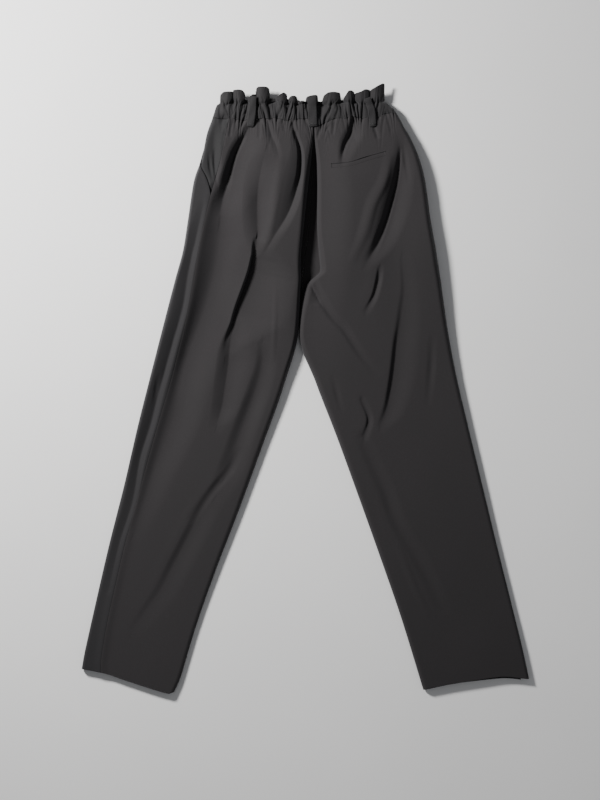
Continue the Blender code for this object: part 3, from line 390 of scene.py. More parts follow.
def cubic(x, y, slopes, where):
    """Cubic through values with the given slopes."""
    k = np.clip(np.searchsorted(x, where, side="right") - 1, 0, len(x) - 2)
    h = x[k + 1] - x[k]
    u = (where - x[k]) / h
    return ((1.0 + 2.0 * u) * (1.0 - u) ** 2 * y[k] + u * (1.0 - u) ** 2 * h * slopes[k]
            + u * u * (3.0 - 2.0 * u) * y[k + 1] + u * u * (u - 1.0) * h * slopes[k + 1])


def steady(knots, values, where):
    """Cubic through a table's values that never passes beyond them."""
    x = np.asarray(knots, dtype=float)
    y = np.asarray(values, dtype=float)
    rise = np.diff(y) / np.diff(x)
    slopes = np.zeros(len(x))
    slopes[0], slopes[-1] = rise[0], rise[-1]
    for i in range(1, len(x) - 1):
        if rise[i - 1] * rise[i] > 0.0:
            slopes[i] = 2.0 * rise[i - 1] * rise[i] / (rise[i - 1] + rise[i])
    return cubic(x, y, slopes, np.clip(np.asarray(where, dtype=float), x[0], x[-1]))


def row_at(rows, names, knots, where):
    data = np.asarray(rows, dtype=float)
    return {n: float(steady(knots, data[:, i], where)) for i, n in enumerate(names)}


def ease(v):
    v = np.clip(v, 0.0, 1.0)
    return v * v * (3.0 - 2.0 * v)


def bell(v):
    return np.exp(-v * v)


def unit(v):
    return v / np.maximum(np.linalg.norm(v, axis=-1, keepdims=True), 1e-9)


def running(steps):
    """Sums of steps along the last axis, from zero."""
    zero = np.zeros(steps.shape[:-1] + (1,))
    return np.concatenate((zero, np.cumsum(steps, axis=-1)), axis=-1)


def arc_length(points):
    """Length along each line of points."""
    return running(np.linalg.norm(np.diff(points, axis=-2), axis=-1))


def path_points(points, count):
    """Even points on a smooth line through a few places."""
    p = np.asarray(points, dtype=float)
    arc = arc_length(p)
    fine = np.linspace(0.0, arc[-1], count)
    return np.stack([steady(arc, p[:, k], fine) for k in range(p.shape[1])], axis=-1)


def smoothed(values, passes):
    """Values eased toward their neighbours along the first axis, with the ends kept."""
    v = np.array(values, dtype=float)
    for _ in range(passes):
        v[1:-1] = 0.25 * v[:-2] + 0.5 * v[1:-1] + 0.25 * v[2:]
    return v


# ---- folds

def fold_line(data):
    """Close points down a fold, with widths and depth, on a smooth curve."""
    knots = arc_length(data[:, :2])
    fine = np.linspace(0.0, knots[-1], max(4, int(knots[-1] / 7.0)))
    slopes = np.gradient(data, knots, axis=0)
    return np.stack([cubic(knots, data[:, i], slopes[:, i], fine) for i in (0, 1)]
                    + [np.interp(fine, knots, data[:, i]) for i in (2, 3, 4)], axis=-1)


def fold_effect(x, y, sharp, lip, data):
    """Height change and lean (x, y) of one fold."""
    line = fold_line(data)
    seg = np.diff(line[:, :2], axis=0)
    length = np.hypot(seg[:, 0], seg[:, 1])
    dx = x[:, None] - line[None, :-1, 0]
    dy = y[:, None] - line[None, :-1, 1]
    u = np.clip((dx * seg[:, 0] + dy * seg[:, 1]) / length ** 2, 0.0, 1.0)
    far = (dx - u * seg[:, 0]) ** 2 + (dy - u * seg[:, 1]) ** 2
    k = np.argmin(far, axis=1)
    i = np.arange(len(x))
    side = np.sign(seg[k, 0] * dy[i, k] - seg[k, 1] * dx[i, k])
    s = side * np.sqrt(far[i, k])
    v = u[i, k]
    west, east, depth = (line[k, c] + (line[k + 1, c] - line[k, c]) * v for c in (2, 3, 4))
    if sharp > 0.0:
        s = s - np.clip(s, 0.0, 0.42 * depth)
    away = np.clip(np.abs(s) / np.where(s < 0.0, west, east), 0.0, 1.0)
    trough = 0.5 + 0.5 * np.cos(np.pi * away)
    if sharp < 0.0:
        trough = np.where((s > 0.0) & (lip < 0.0), trough, (1.0 - away) ** -sharp)
    lift = -depth * trough
    if lip > 0.0:
        rim = np.where(west < east, -1.0, 1.0) * (np.minimum(west, east) + 6.0)
        lift = lift + lip * np.clip(depth / 6.0, 0.0, 1.0) * bell((s - rim) / 7.0)
    lean = np.zeros_like(s)
    if sharp > 0.0:
        out = s + west
        ramp_in = 0.5 + 0.5 * np.cos(np.pi * np.clip(out / (1.25 * west), 0.0, 1.0))
        near = np.where(out < 0.0, bell(out / (1.5 * west)), ramp_in)
        lean = 0.55 * sharp * west * np.clip(depth / 9.0, 0.0, 1.0) * near
    return np.array((lift, -lean * seg[k, 1] / length[k], lean * seg[k, 0] / length[k]))


def fold_effects(x, y, folds, where=True):
    """The places that each fold reaches, and its effect there."""
    for sharp, lip, *rows in folds:
        data = np.asarray(rows, dtype=float)
        reach = 1.2 * data[:, 2:4].max() + 20.0
        low, high = data.min(axis=0) - reach, data.max(axis=0) + reach
        near = (x > low[0]) & (x < high[0]) & (y > low[1]) & (y < high[1]) & where
        if near.any():
            yield near, fold_effect(x[near], y[near], sharp, lip, data)


def cloth_relief(x, y):
    """Height change and lean (x, y) of the upper face at places seen from above."""
    change = np.zeros((3,) + x.shape)
    swell = ease((WAIST_SEAM_Y - y) / 60.0)
    for cx, cy, rx, ry, high in FULLNESS:
        change[0] += swell * high * np.exp(-(((x - cx) / rx) ** 2) - ((y - cy) / ry) ** 2)
    for kx, ky, phase, high in UNEVEN:
        change[0] += high * np.sin(kx * x + ky * y + phase)
    for near, effect in fold_effects(x, y, FOLDS):
        change[:, near] += effect
    return change


def gather(x, rise):
    """Elastic gathers: depth below the crests, at heights above the waist seam."""
    tilt = 0.42 * np.sin(x * 0.083 + 1.1) + 0.24 * np.sin(x * 0.31)
    phase = (x / PUCKER_PITCH + 0.68 * np.sin(x * 0.071 + 0.6) + 0.16 * np.sin(x * 0.21 + 0.4)
             + tilt * (rise - 12.0) / 14.0)
    own = 0.66 + 0.34 * np.sin(x * 0.17 + 1.9 * np.sin(x * 0.043))
    crest = np.abs(np.sin(np.pi * phase)) ** 0.8
    fine = np.abs(np.sin(np.pi * (2.2 * phase + 0.5 * np.sin(x * 0.33) - 0.02 * rise))) ** 0.7
    pinch = 1.0 + 0.2 * bell(rise / 5.0) + 0.2 * bell((rise - HEADER_RISE) / 5.0)
    below = np.where(rise < 0.0, np.exp(rise / (7.0 + 12.0 * own)), 1.0)
    above = 1.0 - 0.85 * ease((rise - HEADER_RISE - 1.0) / 12.0)
    sides = ease((x + 163.0) / 22.0) * ease((162.0 - x) / 16.0)
    return -below * above * sides * pinch * (4.4 * own * (1.0 - crest) + 1.2 * (1.0 - fine))


def sway(points):
    """Move the back's waist seam up and down, with what lies beside it."""
    x, y, z = points[..., 0], points[..., 1], points[..., 2]
    move = 0.9 * np.sin(0.24 * x + 1.0) + 0.6 * np.sin(0.43 * x)
    for cx, half, high in SEAM_SWAY:
        move = move + high * bell((x - cx) / half)
    points[..., 1] = y + ease((z - 5.0) / 5.0) * move * bell((y - WAIST_SEAM_Y) / 24.0)
    return points


# ---- leg sections

def closed_run(q, z, **more):
    """A closed outline: its points, outward directions and the length along it."""
    dq, dz = np.gradient(q), np.gradient(z)
    size = np.maximum(np.hypot(dq, dz), 1e-9)
    s = running(np.hypot(np.diff(q), np.diff(z)))
    return {"q": q, "z": z, "s": s, "nq": dz / size, "nz": -dq / size, "total": float(s[-1]),
            **more}


def sample(run, where, *keys):
    """Values of a closed run at lengths along it, which may pass its end."""
    w = np.mod(where, run["total"])
    return [np.interp(w, run["s"], run[k]) for k in keys]


def section(rows, station):
    """One cross section before its folds: a closed run and how much it takes of the relief."""
    r = row_at(rows, LEG_COLUMNS, range(len(rows)), station)
    start = np.array((r["outer_x"], r["outer_y"]))
    across = np.array((r["inner_x"], r["inner_y"])) - start
    wide = float(np.hypot(*across))
    c, crown, drop = r["corner"], r["crown"], r["drop"]
    end = max(r["end"], c)
    rise = np.sin(TURN)
    shoulder = r["roll"] * (1.0 - np.cos(TURN)) - r["over"] * 2.6 * rise ** 2 * np.cos(TURN)
    low = 0.9 * drop
    # Each part: distance from the outer edge, height, share of the relief.
    parts = [
        (np.linspace(wide / 2.0, wide - c, 30), np.zeros(30), np.zeros(30)),
        (wide - c + c * rise, c - c * np.cos(TURN), np.zeros(23)),
    ]
    corner_points = 53
    if end - c >= 1e-6:
        parts.append((np.full(5, wide), np.linspace(c, end, 6)[1:], np.zeros(5)))
    if r["ledge"] >= 1e-6:
        parts.append((wide - np.linspace(0.0, r["ledge"], 8)[1:], np.full(7, end), np.zeros(7)))
    roll_from = sum(len(p[0]) for p in parts)
    parts += [
        (wide - r["ledge"] - shoulder, end + (crown - end) * rise, rise),
        (np.linspace(wide - r["ledge"] - r["roll"], r["edge"], 170)[1:], np.full(169, crown),
         np.ones(169)),
        (r["edge"] * (1.0 - np.cos(BACK_TURN)), drop + (crown - drop) * np.sin(BACK_TURN),
         np.sin(BACK_TURN)),
        (low * (1.0 - np.cos(TURN)), drop * (1.0 - rise), np.zeros(23)),
        (np.linspace(low, wide / 2.0, 30)[1:], np.zeros(29), np.zeros(29)),
    ]
    run = closed_run(*(np.concatenate([p[i] for p in parts]) for i in range(2)))
    q, s = run["q"], run["s"]
    bend = np.abs(np.diff(np.unwrap(np.arctan2(run["nz"], run["nq"]))))
    bend[corner_points - 2:roll_from + 2] = 0.0
    corner_end = float(s[np.argmax(q >= wide - 1e-6)])
    outermost = int(np.argmin(q))
    upper = slice(int(np.argmax(q)) + 5, outermost + 1)
    if r["side"] > 0.0:
        side = np.interp(r["side"], q[upper][::-1], s[upper][::-1])
    else:
        side = np.interp(-r["side"], q[outermost:], s[outermost:])
    run.update(start=start, unit=across / wide, wide=wide, crown=crown, side=float(side),
               share=np.concatenate([p[2] for p in parts]), turning=running(bend),
               begin=corner_end + (end - c) - r["inseam"], finish=corner_end - r["inseam"])
    return run


def place(run, where, inward):
    """Points (x, y, z) of a section with their share of the relief."""
    q, z, nq, nz, share = sample(run, where, "q", "z", "nq", "nz", "share")
    size = np.maximum(np.hypot(nq, nz), 1e-9)
    q = q - inward * nq / size
    z = z - inward * nz / size
    x, y = (run["start"][i] + run["unit"][i] * q for i in (0, 1))
    return np.stack((x, y, z, share), axis=-1)


def spread(run, first, last, count, flat_weight, bend_weight):
    """Lengths along a section, closer together where it bends."""
    s = np.linspace(first, last, 600)
    z, turning = sample(run, s, "z", "turning")
    turning = turning + np.floor(s / run["total"]) * run["turning"][-1]
    weight = np.where(z < 0.05, flat_weight, 1.0)
    step = np.diff(s) * 0.5 * (weight[1:] + weight[:-1]) + bend_weight * np.abs(np.diff(turning))
    measure = running(step)
    return np.interp(np.linspace(0.0, measure[-1], count), measure, s)


def stations_of(rows, close, wide):
    """Stations down a leg at even steps in millimetres, closer near the waist."""
    fine = np.linspace(0.0, len(rows) - 1.0, 1500)
    data = np.asarray(rows, dtype=float)
    mid = 0.5 * sum(steady(range(len(rows)), data[:, i], fine) for i in (1, 3))
    ys = [mid[0]]
    while ys[-1] > mid[-1] + wide:
        ys.append(ys[-1] - (close if ys[-1] > 400.0 else wide))
    ys.append(mid[-1])
    return np.interp(-np.array(ys), -mid, fine)


def hem_shift(points, run, hem, column, station, last):
    """Shape the hem line: shorten the last section by the hem table."""
    data = np.asarray(hem, dtype=float)
    along = (points[:, :2] - run["start"]) @ run["unit"]
    short = steady(data[:, 0], data[:, column], np.clip(along / run["wide"], 0.0, 1.0))
    upward = np.sign(run["unit"][0]) * np.array((-run["unit"][1], run["unit"][0]))
    points[:, :2] += (short * ease(station - (last - 1.0)))[:, None] * upward
    return points


# ---- sheets and turned edges

def outward_of(grid, hint):
    """Unit normals of a grid of points, on the side that a rough hint points to."""
    n = unit(np.cross(np.gradient(grid, axis=0), np.gradient(grid, axis=1)))
    return n * (1.0 if np.sum(n * hint) > 0.0 else -1.0)


def turned(grid, out, last, radius, allowance):
    """A grid with more columns, which turn under one of its edges."""
    if not last:
        g, o = turned(grid[:, ::-1], out[:, ::-1], True, radius, allowance)
        return g[:, ::-1], o[:, ::-1]
    angle = np.linspace(0.0, math.pi, 8)[1:]
    back = np.concatenate((-radius * np.sin(angle), np.linspace(0.0, allowance, 7)[1:]))
    depth = np.concatenate((radius * (1.0 - np.cos(angle)),
                            2.0 * radius + np.linspace(0.0, 0.15, 6)))
    near = np.concatenate((grid, out), axis=2)[:, ::-1][:, :40]
    arc = arc_length(near[..., :3])
    add = np.empty((len(grid), len(back), 6))
    for i in range(len(grid)):
        for k in range(6):
            add[i, :, k] = np.interp(np.maximum(back, 0.0), arc[i], near[i, :, k])
    add_out = unit(add[..., 3:])
    beyond = unit(near[:, 0, :3] - near[:, 1, :3])[:, None]
    add = add[..., :3] + beyond * np.maximum(-back, 0.0)[:, None] - add_out * depth[:, None]
    return np.concatenate((grid, add), axis=1), np.concatenate((out, add_out), axis=1)


def turned_rows(grid, out, last, radius, allowance):
    g, o = turned(grid.swapaxes(0, 1), out.swapaxes(0, 1), last, radius, allowance)
    return g.swapaxes(0, 1), o.swapaxes(0, 1)


PIECES = {}


def add_object(name, data):
    obj = bpy.data.objects.new(name, data)
    bpy.context.scene.collection.objects.link(obj)
    return obj


def mesh_object(name, points, faces, uv, material):
    """Object from points in millimetres, at its place in the frame."""
    data = bpy.data.meshes.new(name)
    data.vertices.add(len(points))
    moved = (points + np.array((*CENTRING, 0.0))) * MM
    data.vertices.foreach_set("co", moved.astype(np.float32).ravel())
    data.loops.add(faces.size)
    data.loops.foreach_set("vertex_index", faces.astype(np.int32).ravel())
    data.polygons.add(len(faces))
    starts = np.arange(len(faces)) * faces.shape[1]
    data.polygons.foreach_set("loop_start", starts.astype(np.int32))
    if uv is not None:
        layer = data.uv_layers.new(name="cloth")
        layer.data.foreach_set("uv", uv[faces.ravel()].astype(np.float32).ravel())
    data.update(calc_edges=True)
    data.validate()
    data.shade_smooth()
    data.materials.append(material)
    obj = add_object(name, data)
    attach(obj, "root")
    PIECES[name] = obj
    return obj


def sheet_object(name, grid, quads, at, out, middle, caps, material):
    """Sheet whose quad `at` faces outward, with cloth coordinates in metres."""
    across = arc_length(grid)
    across = across - across[:, middle:middle + 1]
    down = arc_length(grid[:, middle])[:, None] + 0.0 * across
    points = grid.reshape(-1, 3)
    a, b, _, d = points[quads[at]]
    if np.dot(np.cross(b - a, d - a), out) < 0.0:
        quads = quads[:, ::-1]
    faces = np.concatenate((quads, caps)) if caps else quads
    uv = np.stack((across, -down), axis=-1).reshape(-1, 2) * MM
    mesh_object(name, points, faces, uv, material)


def quads_between(left, right):
    return np.stack((left[:-1], right[:-1], right[1:], left[1:]), axis=-1).reshape(-1, 4)


def grid_object(name, grid, out, material):
    """Open sheet from a grid of points."""
    rows, cols = grid.shape[:2]
    index = np.arange(rows * cols).reshape(rows, cols)
    r, c = rows // 4, cols // 2
    sheet_object(name, grid, quads_between(index[:, :-1], index[:, 1:]), r * (cols - 1) + c,
                 out[r, c], c, [], material)


# ---- leg panels

def seam_ridge(away):
    """Raised line of the pressed seam allowances beside the left side seam."""
    return 1.7 * bell(away / 8.0)


def under_relief(points):
    """Shallow inward folds and gathers of the faces that lie down on the floor."""
    x, y, z, share = (points[..., i] for i in range(4))
    flat = bell(z / 2.5) * np.where(share > 0.0, 0.0, 1.0)
    rise = -0.55 * gather(x + FRONT_OFFSET, y - WAIST_SEAM_Y)
    for near, effect in fold_effects(x, y, UNDER_FOLDS, flat > 0.01):
        rise[near] -= effect[0]
    return z + flat * np.maximum(rise, 0.0)


def relieved(lines):
    """A panel's grid with its folds, gathers and sway, and its outward directions."""
    base, hint, crown = (np.array(v) for v in zip(*lines))
    crown = crown[:, None]
    x, y, _, share = (base[..., i] for i in range(4))
    z = under_relief(base)
    lift, lean_x, lean_y = cloth_relief(x, y)
    lift = lift + gather(x, y - WAIST_SEAM_Y)
    top = 5.0 + 1.5 * np.logaddexp(0.0, (crown + lift - 5.0) / 1.5)
    grid = sway(np.stack((x + share * lean_x, y + share * lean_y, z + share * (top - crown)),
                         axis=-1))
    grid[..., 2] = np.maximum(grid[..., 2], LOWEST)
    return grid, outward_of(grid, hint)


def section_line(run, where, inward):
    """One line of a panel: points with their share of the relief, way outward, crown."""
    line = place(run, where, inward)
    return line, (place(run, where, inward - 1.0) - line)[:, :3], run["crown"]


def panel(name, rows, hem, mouth, is_back, columns, steps, flat_weight, material):
    """One leg panel between its seams, with turned seam edges and a turned-up hem."""
    last = float(len(rows) - 1)
    data = np.asarray(mouth, dtype=float)
    radius = LAYER / 2.0
    on_top = rows[0][LEG_COLUMNS.index("side")] > 0.0
    lines = []
    for station in stations_of(rows, *steps):
        run = section(rows, station)
        away = 0.0
        if is_back:
            first = run["begin"] + radius
            stop = run["side"] - radius
        else:
            if station < data[-1, 0]:
                away = float(steady(data[:, 0], data[:, 1], station))
            first = run["side"] + SEAM_GAP + away + radius
            stop = run["total"] + run["finish"] - SEAM_GAP - radius
        where = spread(run, first, stop, columns, flat_weight, 6.0)
        rise = np.zeros(columns)
        if on_top:
            rise = seam_ridge(stop - where if is_back else where - first + away)
        if not is_back:
            rise = rise + 0.5 * ease(away / 6.0) * bell((where - first - 3.0) / 3.0)
        line, hint, crown = section_line(run, where, -rise)
        line = hem_shift(line, run, hem, 1 if is_back else 2, station, last)
        lines.append((line, hint, crown))
    grid, out = relieved(lines)
    for side in (True, False):
        grid, out = turned(grid, out, side, radius, SEAM_ALLOWANCE)
    grid, out = turned_rows(grid, out, True, HEM_RADIUS, HEM_TURN)
    grid, out = turned_rows(grid, out, False, radius, SEAM_ALLOWANCE)
    grid_object(name, grid, out, material)


def facing(name, rows, mouth, columns, material):
    """Pocket facing: fills the slanted mouth and tucks behind the front panel."""
    data = np.asarray(mouth, dtype=float)
    on_top = rows[0][LEG_COLUMNS.index("side")] > 0.0
    lines = []
    for station in stations_of(rows, 2.4, 2.4):
        if station > data[-1, 0] + 1e-6:
            break
        run = section(rows, station)
        away = float(steady(data[:, 0], data[:, 1], station))
        first = run["side"] + SEAM_GAP + LAYER / 2.0
        where = np.linspace(first, first + away + TUCK_DEPTH, columns)
        closed = 1.0 - ease((away - 5.0) / 6.0)
        sink = MOUTH_SINK * np.maximum(ease((where - (first + away - 5.0)) / 4.0), closed)
        rise = seam_ridge(where - first) * (1.0 - closed) if on_top else 0.0 * where
        rise = rise + 0.7 * np.sin(0.11 * where + 0.35 * station) * ease(away / 20.0)
        lines.append(section_line(run, where, sink - rise))
    grid, out = relieved(lines)
    grid_object(name, *turned(grid, out, False, LAYER / 2.0, SEAM_ALLOWANCE), material)


# ---- waistband

def band_section(rise):
    """Closed run of the waistband at one level, before its waves are added."""
    r = row_at(BAND, BAND_COLUMNS, [b[0] for b in BAND], rise)
    wide = r["right"] - r["left"]
    drop, crown = BAND_DROP, r["crown"]
    low = 0.9 * drop
    q = np.concatenate((
        np.linspace(wide / 2.0, wide - low, 60), wide - low + low * np.sin(TURN),
        wide - BAND_EDGE * (1.0 - np.cos(TURN)),
        np.linspace(wide - BAND_EDGE, BAND_EDGE, 280)[1:],
        BAND_EDGE * (1.0 - np.cos(BACK_TURN)), low * (1.0 - np.cos(TURN)),
        np.linspace(low, wide / 2.0, 60)[1:],
    ))
    z = np.concatenate((
        np.zeros(60), drop * (1.0 - np.cos(TURN)), drop + (crown - drop) * np.sin(TURN),
        np.full(279, crown), drop + (crown - drop) * np.sin(BACK_TURN),
        drop * (1.0 - np.sin(TURN)), np.zeros(59),
    ))
    run = closed_run(q, z, left=r["left"], wide=wide)
    s = run["s"]
    top = (run["nz"] > 0.5) & (z > drop + 1.0)
    run["left_seam"] = float(np.interp(BAND_SIDE_LEFT, q[top][::-1], s[top][::-1]))
    under = (q > wide / 2.0) & (z < 0.01) & (s < run["total"] / 3.0)
    run["right_seam"] = float(np.interp(wide - BAND_SIDE_RIGHT, q[under], s[under]))
    return run


def flutes(x, waves, edge):
    """Header flutes at places along the band: wave height, free edge, shift and pull inward."""
    high = np.full(x.shape, -1.5)
    shift = np.zeros(x.shape)
    neck = np.zeros(x.shape)
    for cx, half, crest in waves:
        d = (x - cx) / half
        a = np.clip(np.abs(d), 0.0, 1.0)
        high = np.maximum(high, -1.5 + (1.5 + crest / 5.0) * (1.0 - a ** 2.6) ** 0.75)
        shift += np.sign(d) * bell((np.abs(d) - 0.8) / 0.2)
        neck += -(x - cx) * np.clip(1.25 - np.abs(d), 0.0, 0.4) / 0.4
    places = np.asarray(edge, dtype=float)
    return high, steady(places[:, 0], places[:, 1], x), shift, neck


def header_sway(x):
    """Rise and fall of the stitching that closes the elastic's channel."""
    return 1.5 * np.sin(0.105 * x + 0.7) + 0.9 * np.sin(0.263 * x + 2.0)


def band_points(rise, where):
    """Outer points of the waistband at one level, with gathers and ruffle."""
    run = band_section(rise)
    q, z, nq, nz = sample(run, where, "q", "z", "nq", "nz")
    x = run["left"] + q
    up = ease((nz + 0.2) / 0.6)
    full = 0.42 * ease((rise - 4.0) / 18.0) + 0.58 * ease((rise - HEADER_RISE + 2.0) / 7.0)
    back = flutes(x, BACK_FLUTES, BACK_EDGE)
    front = flutes(x, FRONT_FLUTES, FRONT_EDGE)
    puff = 0.9 * math.sin(math.pi * min(rise / HEADER_RISE, 1.0)) ** 0.7
    pinch = -0.9 * math.exp(-((rise - HEADER_RISE) / 2.0) ** 2)
    wave = up * (gather(x, rise) + puff + pinch + full * 5.0 * back[0])
    inner = gather(x + FRONT_OFFSET, rise) * 0.6 - full * 2.4 * (1.0 - front[0])
    wave = wave + (1.0 - up) * np.minimum(inner - 0.2 * puff, 0.0)
    wave = wave * (0.12 + 0.88 * ease(np.minimum(q, run["wide"] - q) / 18.0))
    edge = up * back[1] + (1.0 - up) * front[1]
    seam = WAIST_SEAM_Y + HEADER_RISE + header_sway(x)
    low = min(rise / HEADER_RISE, 1.0)
    high = min(max((rise - HEADER_RISE) / (HEADER_TOP - HEADER_RISE), 0.0), 1.0)
    y = WAIST_SEAM_Y + low * (seam - WAIST_SEAM_Y) + high * (edge - seam)
    fan = 0.30 * math.exp(-((rise - HEADER_RISE) / 7.0) ** 2)
    x = x + up * (1.6 * ease((rise - HEADER_RISE) / 14.0) * back[2] + fan * back[3])
    size = np.maximum(np.hypot(nq, nz), 1e-9)
    return np.stack((x + wave * nq / size, y, z + wave * nz / size), axis=-1)


def band_grid(is_back, columns):
    """Outer face of the back or front waistband, seam to ruffle edge, and the way outward."""
    levels = np.concatenate((CASING_LEVELS, HEADER_LEVELS))
    clear = SEAM_GAP + 0.15
    ends = []
    for rise in levels:
        run = band_section(rise)
        if is_back:
            ends.append((run["right_seam"] + clear, run["left_seam"] - 0.15))
        else:
            ends.append((run["left_seam"] + clear, run["total"] + run["right_seam"] - 0.15))
    fine = np.linspace(0.0, 1.0, 2500)
    first, last = ends[-1]
    line = band_points(levels[-1], first + (last - first) * fine)
    measure = running(0.6 * np.linalg.norm(np.diff(line[:, (0, 2)], axis=0), axis=1)
                      + 0.4 * (last - first) / 2500.0)
    share = np.interp(np.linspace(0.0, measure[-1], columns), measure, fine)
    grid = np.array([band_points(rise, a + (b - a) * share)
                     for rise, (a, b) in zip(levels, ends)])
    first, last = ends[len(CASING_LEVELS) - 1]
    nz, nq = sample(band_section(24.0), first + (last - first) * share, "nz", "nq")
    return grid, np.stack((nq, 0.0 * nq, nz), axis=-1)


def waistband(name, is_back, columns, material):
    """Casing and header: up the outside, over the free edge, and down the inside."""
    grid, hint = band_grid(is_back, columns)
    grid = sway(grid)
    grid[..., 2] = np.maximum(grid[..., 2], LOWEST)
    out = outward_of(grid, hint)
    # Directions smoothed along each row keep the inner face clear of the outer one.
    lean = unit(smoothed(out.swapaxes(0, 1), 30).swapaxes(0, 1))
    up = unit(grid[-1] - grid[-2])
    over = [grid[-1] - lean[-1] * BAND_THICK * 0.5 * (1.0 - math.cos(angle))
            + up * BAND_ROLL * math.sin(angle) for angle in np.linspace(0.0, math.pi, 8)[1:-1]]
    inner = grid - lean * BAND_THICK
    grid = np.concatenate((grid, np.array(over), inner[::-1]), axis=0)
    out = np.concatenate((out, np.array([out[-1]] * len(over)), out[::-1]), axis=0)
    for side in (True, False):
        grid, out = turned(grid, out, side, *BAND_TURN)
    grid_object(name, grid, out, material)


# ---- trims

def search_tree(*objects):
    points, faces = [], []
    for obj in objects:
        start = len(points)
        points += [v.co.copy() for v in obj.data.vertices]
        faces += [[start + i for i in p.vertices] for p in obj.data.polygons]
    return BVHTree.FromPolygons(points, faces)


def drop_on(tree, x, y):
    """Height and normal of the cloth at a place, from above, or -1 where there is none."""
    start = Vector(((x + CENTRING[0]) * MM, (y + CENTRING[1]) * MM, 0.2))
    spot, normal = tree.ray_cast(start, Vector((0.0, 0.0, -1.0)))[:2]
    if spot is None:
        return -1.0, None
    return spot.z / MM, np.array(normal) * (-1.0 if normal.z < 0.0 else 1.0)


def edge_arc(edge, beyond, out, radius, angles):
    """Round edge of a strip, from one of its faces to the other."""
    return np.stack([edge - out * radius * (1.0 - math.cos(a)) + beyond * radius * math.sin(a)
                     for a in angles], axis=1)


def strip_shell(name, rows, thick, material):
    """Folded strip of cloth from rows of (x, y, z) over its width, with round edges."""
    grid = np.asarray(rows, dtype=float)
    out = outward_of(grid, np.array((0.0, 0.0, 1.0)))
    angles = np.linspace(0.0, math.pi, 7)[1:-1]
    full = np.concatenate((
        grid,
        edge_arc(grid[:, -1], unit(grid[:, -1] - grid[:, -2]), out[:, -1], thick / 2.0, angles),
        (grid - out * thick)[:, ::-1],
        edge_arc(grid[:, 0], unit(grid[:, 0] - grid[:, 1]), out[:, 0], thick / 2.0,
                 angles[::-1]),
    ), axis=1)
    count, ring = full.shape[:2]
    index = np.arange(count * ring).reshape(count, ring)
    half = grid.shape[1]
    caps = []
    for line, flip in ((index[0], False), (index[-1], True)):
        ends = [(line[j], line[2 * half + 4 - j], line[2 * half + 3 - j], line[j + 1])
                for j in range(half - 1)]
        caps += [q if flip else (q[0], q[3], q[2], q[1]) for q in ends]
        for start in (half - 1, 2 * half + 4):
            arc = [line[(start + k) % ring] for k in range(7)]
            ends = [(arc[k - 1], arc[k], arc[6 - k], arc[7 - k]) for k in (1, 2)]
            caps += [q[::-1] if flip else q for q in ends]
    sheet_object(name, full, quads_between(index, np.roll(index, -1, axis=1)), 0, out[0, 0], 0,
                 caps, material)


def path_sides(path):
    """Directions across a path, to its left."""
    along = unit(np.gradient(path, axis=0))
    return np.stack((-along[:, 1], along[:, 0]), axis=-1)


def belt_loop(name, line, width, tree, material):
    """Folded strip over the casing: gently arched, lying down at both ends."""
    path = path_points(line, 46)
    side = path_sides(path)
    across = np.linspace(-0.5, 0.5, 11)
    heights = np.array([max(drop_on(tree, *(spot + way * width * k))[0] for k in across[::2])
                        for spot, way in zip(path, side)])
    wide = np.array([heights[max(0, i - 3):i + 4].max() for i in range(len(heights))])
    wide = smoothed(np.maximum(smoothed(wide, 12), heights), 4)
    t = np.linspace(0.0, 1.0, len(path))
    bow = 1.1 * np.sin(np.pi * t) + 1.75 - 0.9 * ease((t - 0.93) / 0.07)
    edge = 0.45 * (1.0 - (2.0 * across) ** 4) - 0.25 * bell((np.abs(across) - 0.34) / 0.05)
    wave = 0.35 * np.sin(0.9 * t[:, None] * 9.0 + 4.0 * across)
    z = (wide + bow)[:, None] + edge + wave
    spots = path[:, None] + side[:, None] * (width * across)[:, None]
    grid = np.concatenate((spots, z[..., None]), axis=2)
    strip_shell(name, grid, LOOP_THICK, material)
    return grid


def welt(name, upper, height, tree, material):
    """Narrow welt pressed flat on the panel, its upper edge folded."""
    path = path_points(upper, 60)
    down = path_sides(path)
    down *= np.where(down[:, 1:] > 0.0, -1.0, 1.0)
    grid = []
    for i, (spot, way) in enumerate(zip(path, down)):
        line = []
        lip = 1.3 + 0.5 * np.sin(0.21 * i + 0.6)
        for k in np.linspace(0.0, 1.0, 17):
            x, y = spot + way * height * k
            rim = 0.55 + lip * bell((k - 0.05) / 0.1) - 0.3 * bell((k - 0.3) / 0.09) - 0.3 * k
            line.append((x, y, drop_on(tree, x, y)[0] + rim))
        grid.append(line)
    grid = np.array(grid)
    grid[..., 2] = smoothed(grid[..., 2], 3)
    strip_shell(name, grid, WELT_THICK, material)


def stitch_run(points, normals, length, gap, radius):
    """Dashes of thread that dip into the cloth at both ends: points and faces."""
    arc = arc_length(points)

    def at(values, where):
        return np.array([np.interp(where, arc, values[:, k]) for k in range(3)])

    verts, faces = [], []
    start = 0.4
    while start + length < arc[-1]:
        first = len(verts)
        for share, fat, lift in STITCH_SHAPE:
            d = start + length * share
            along = unit(at(points, min(d + 0.3, arc[-1])) - at(points, max(d - 0.3, 0.0)))
            up = at(normals, d)
            up = unit(up - along * np.dot(up, along))
            side = np.cross(along, up)
            for k in range(6):
                turn = math.pi * k / 3.0
                verts.append(at(points, d) + up * (lift + radius * fat * math.sin(turn))
                             + side * radius * fat * math.cos(turn))
        for i in range(first, first + 24, 6):
            faces += [(i + k, i + (k + 1) % 6, i + (k + 1) % 6 + 6, i + k + 6) for k in range(6)]
        end = first + 24
        faces += [(first + 3, first + 2, first + 1, first),
                  (first, first + 5, first + 4, first + 3),
                  (end, end + 1, end + 2, end + 3), (end + 3, end + 4, end + 5, end)]
        start += length + gap
    return verts, faces


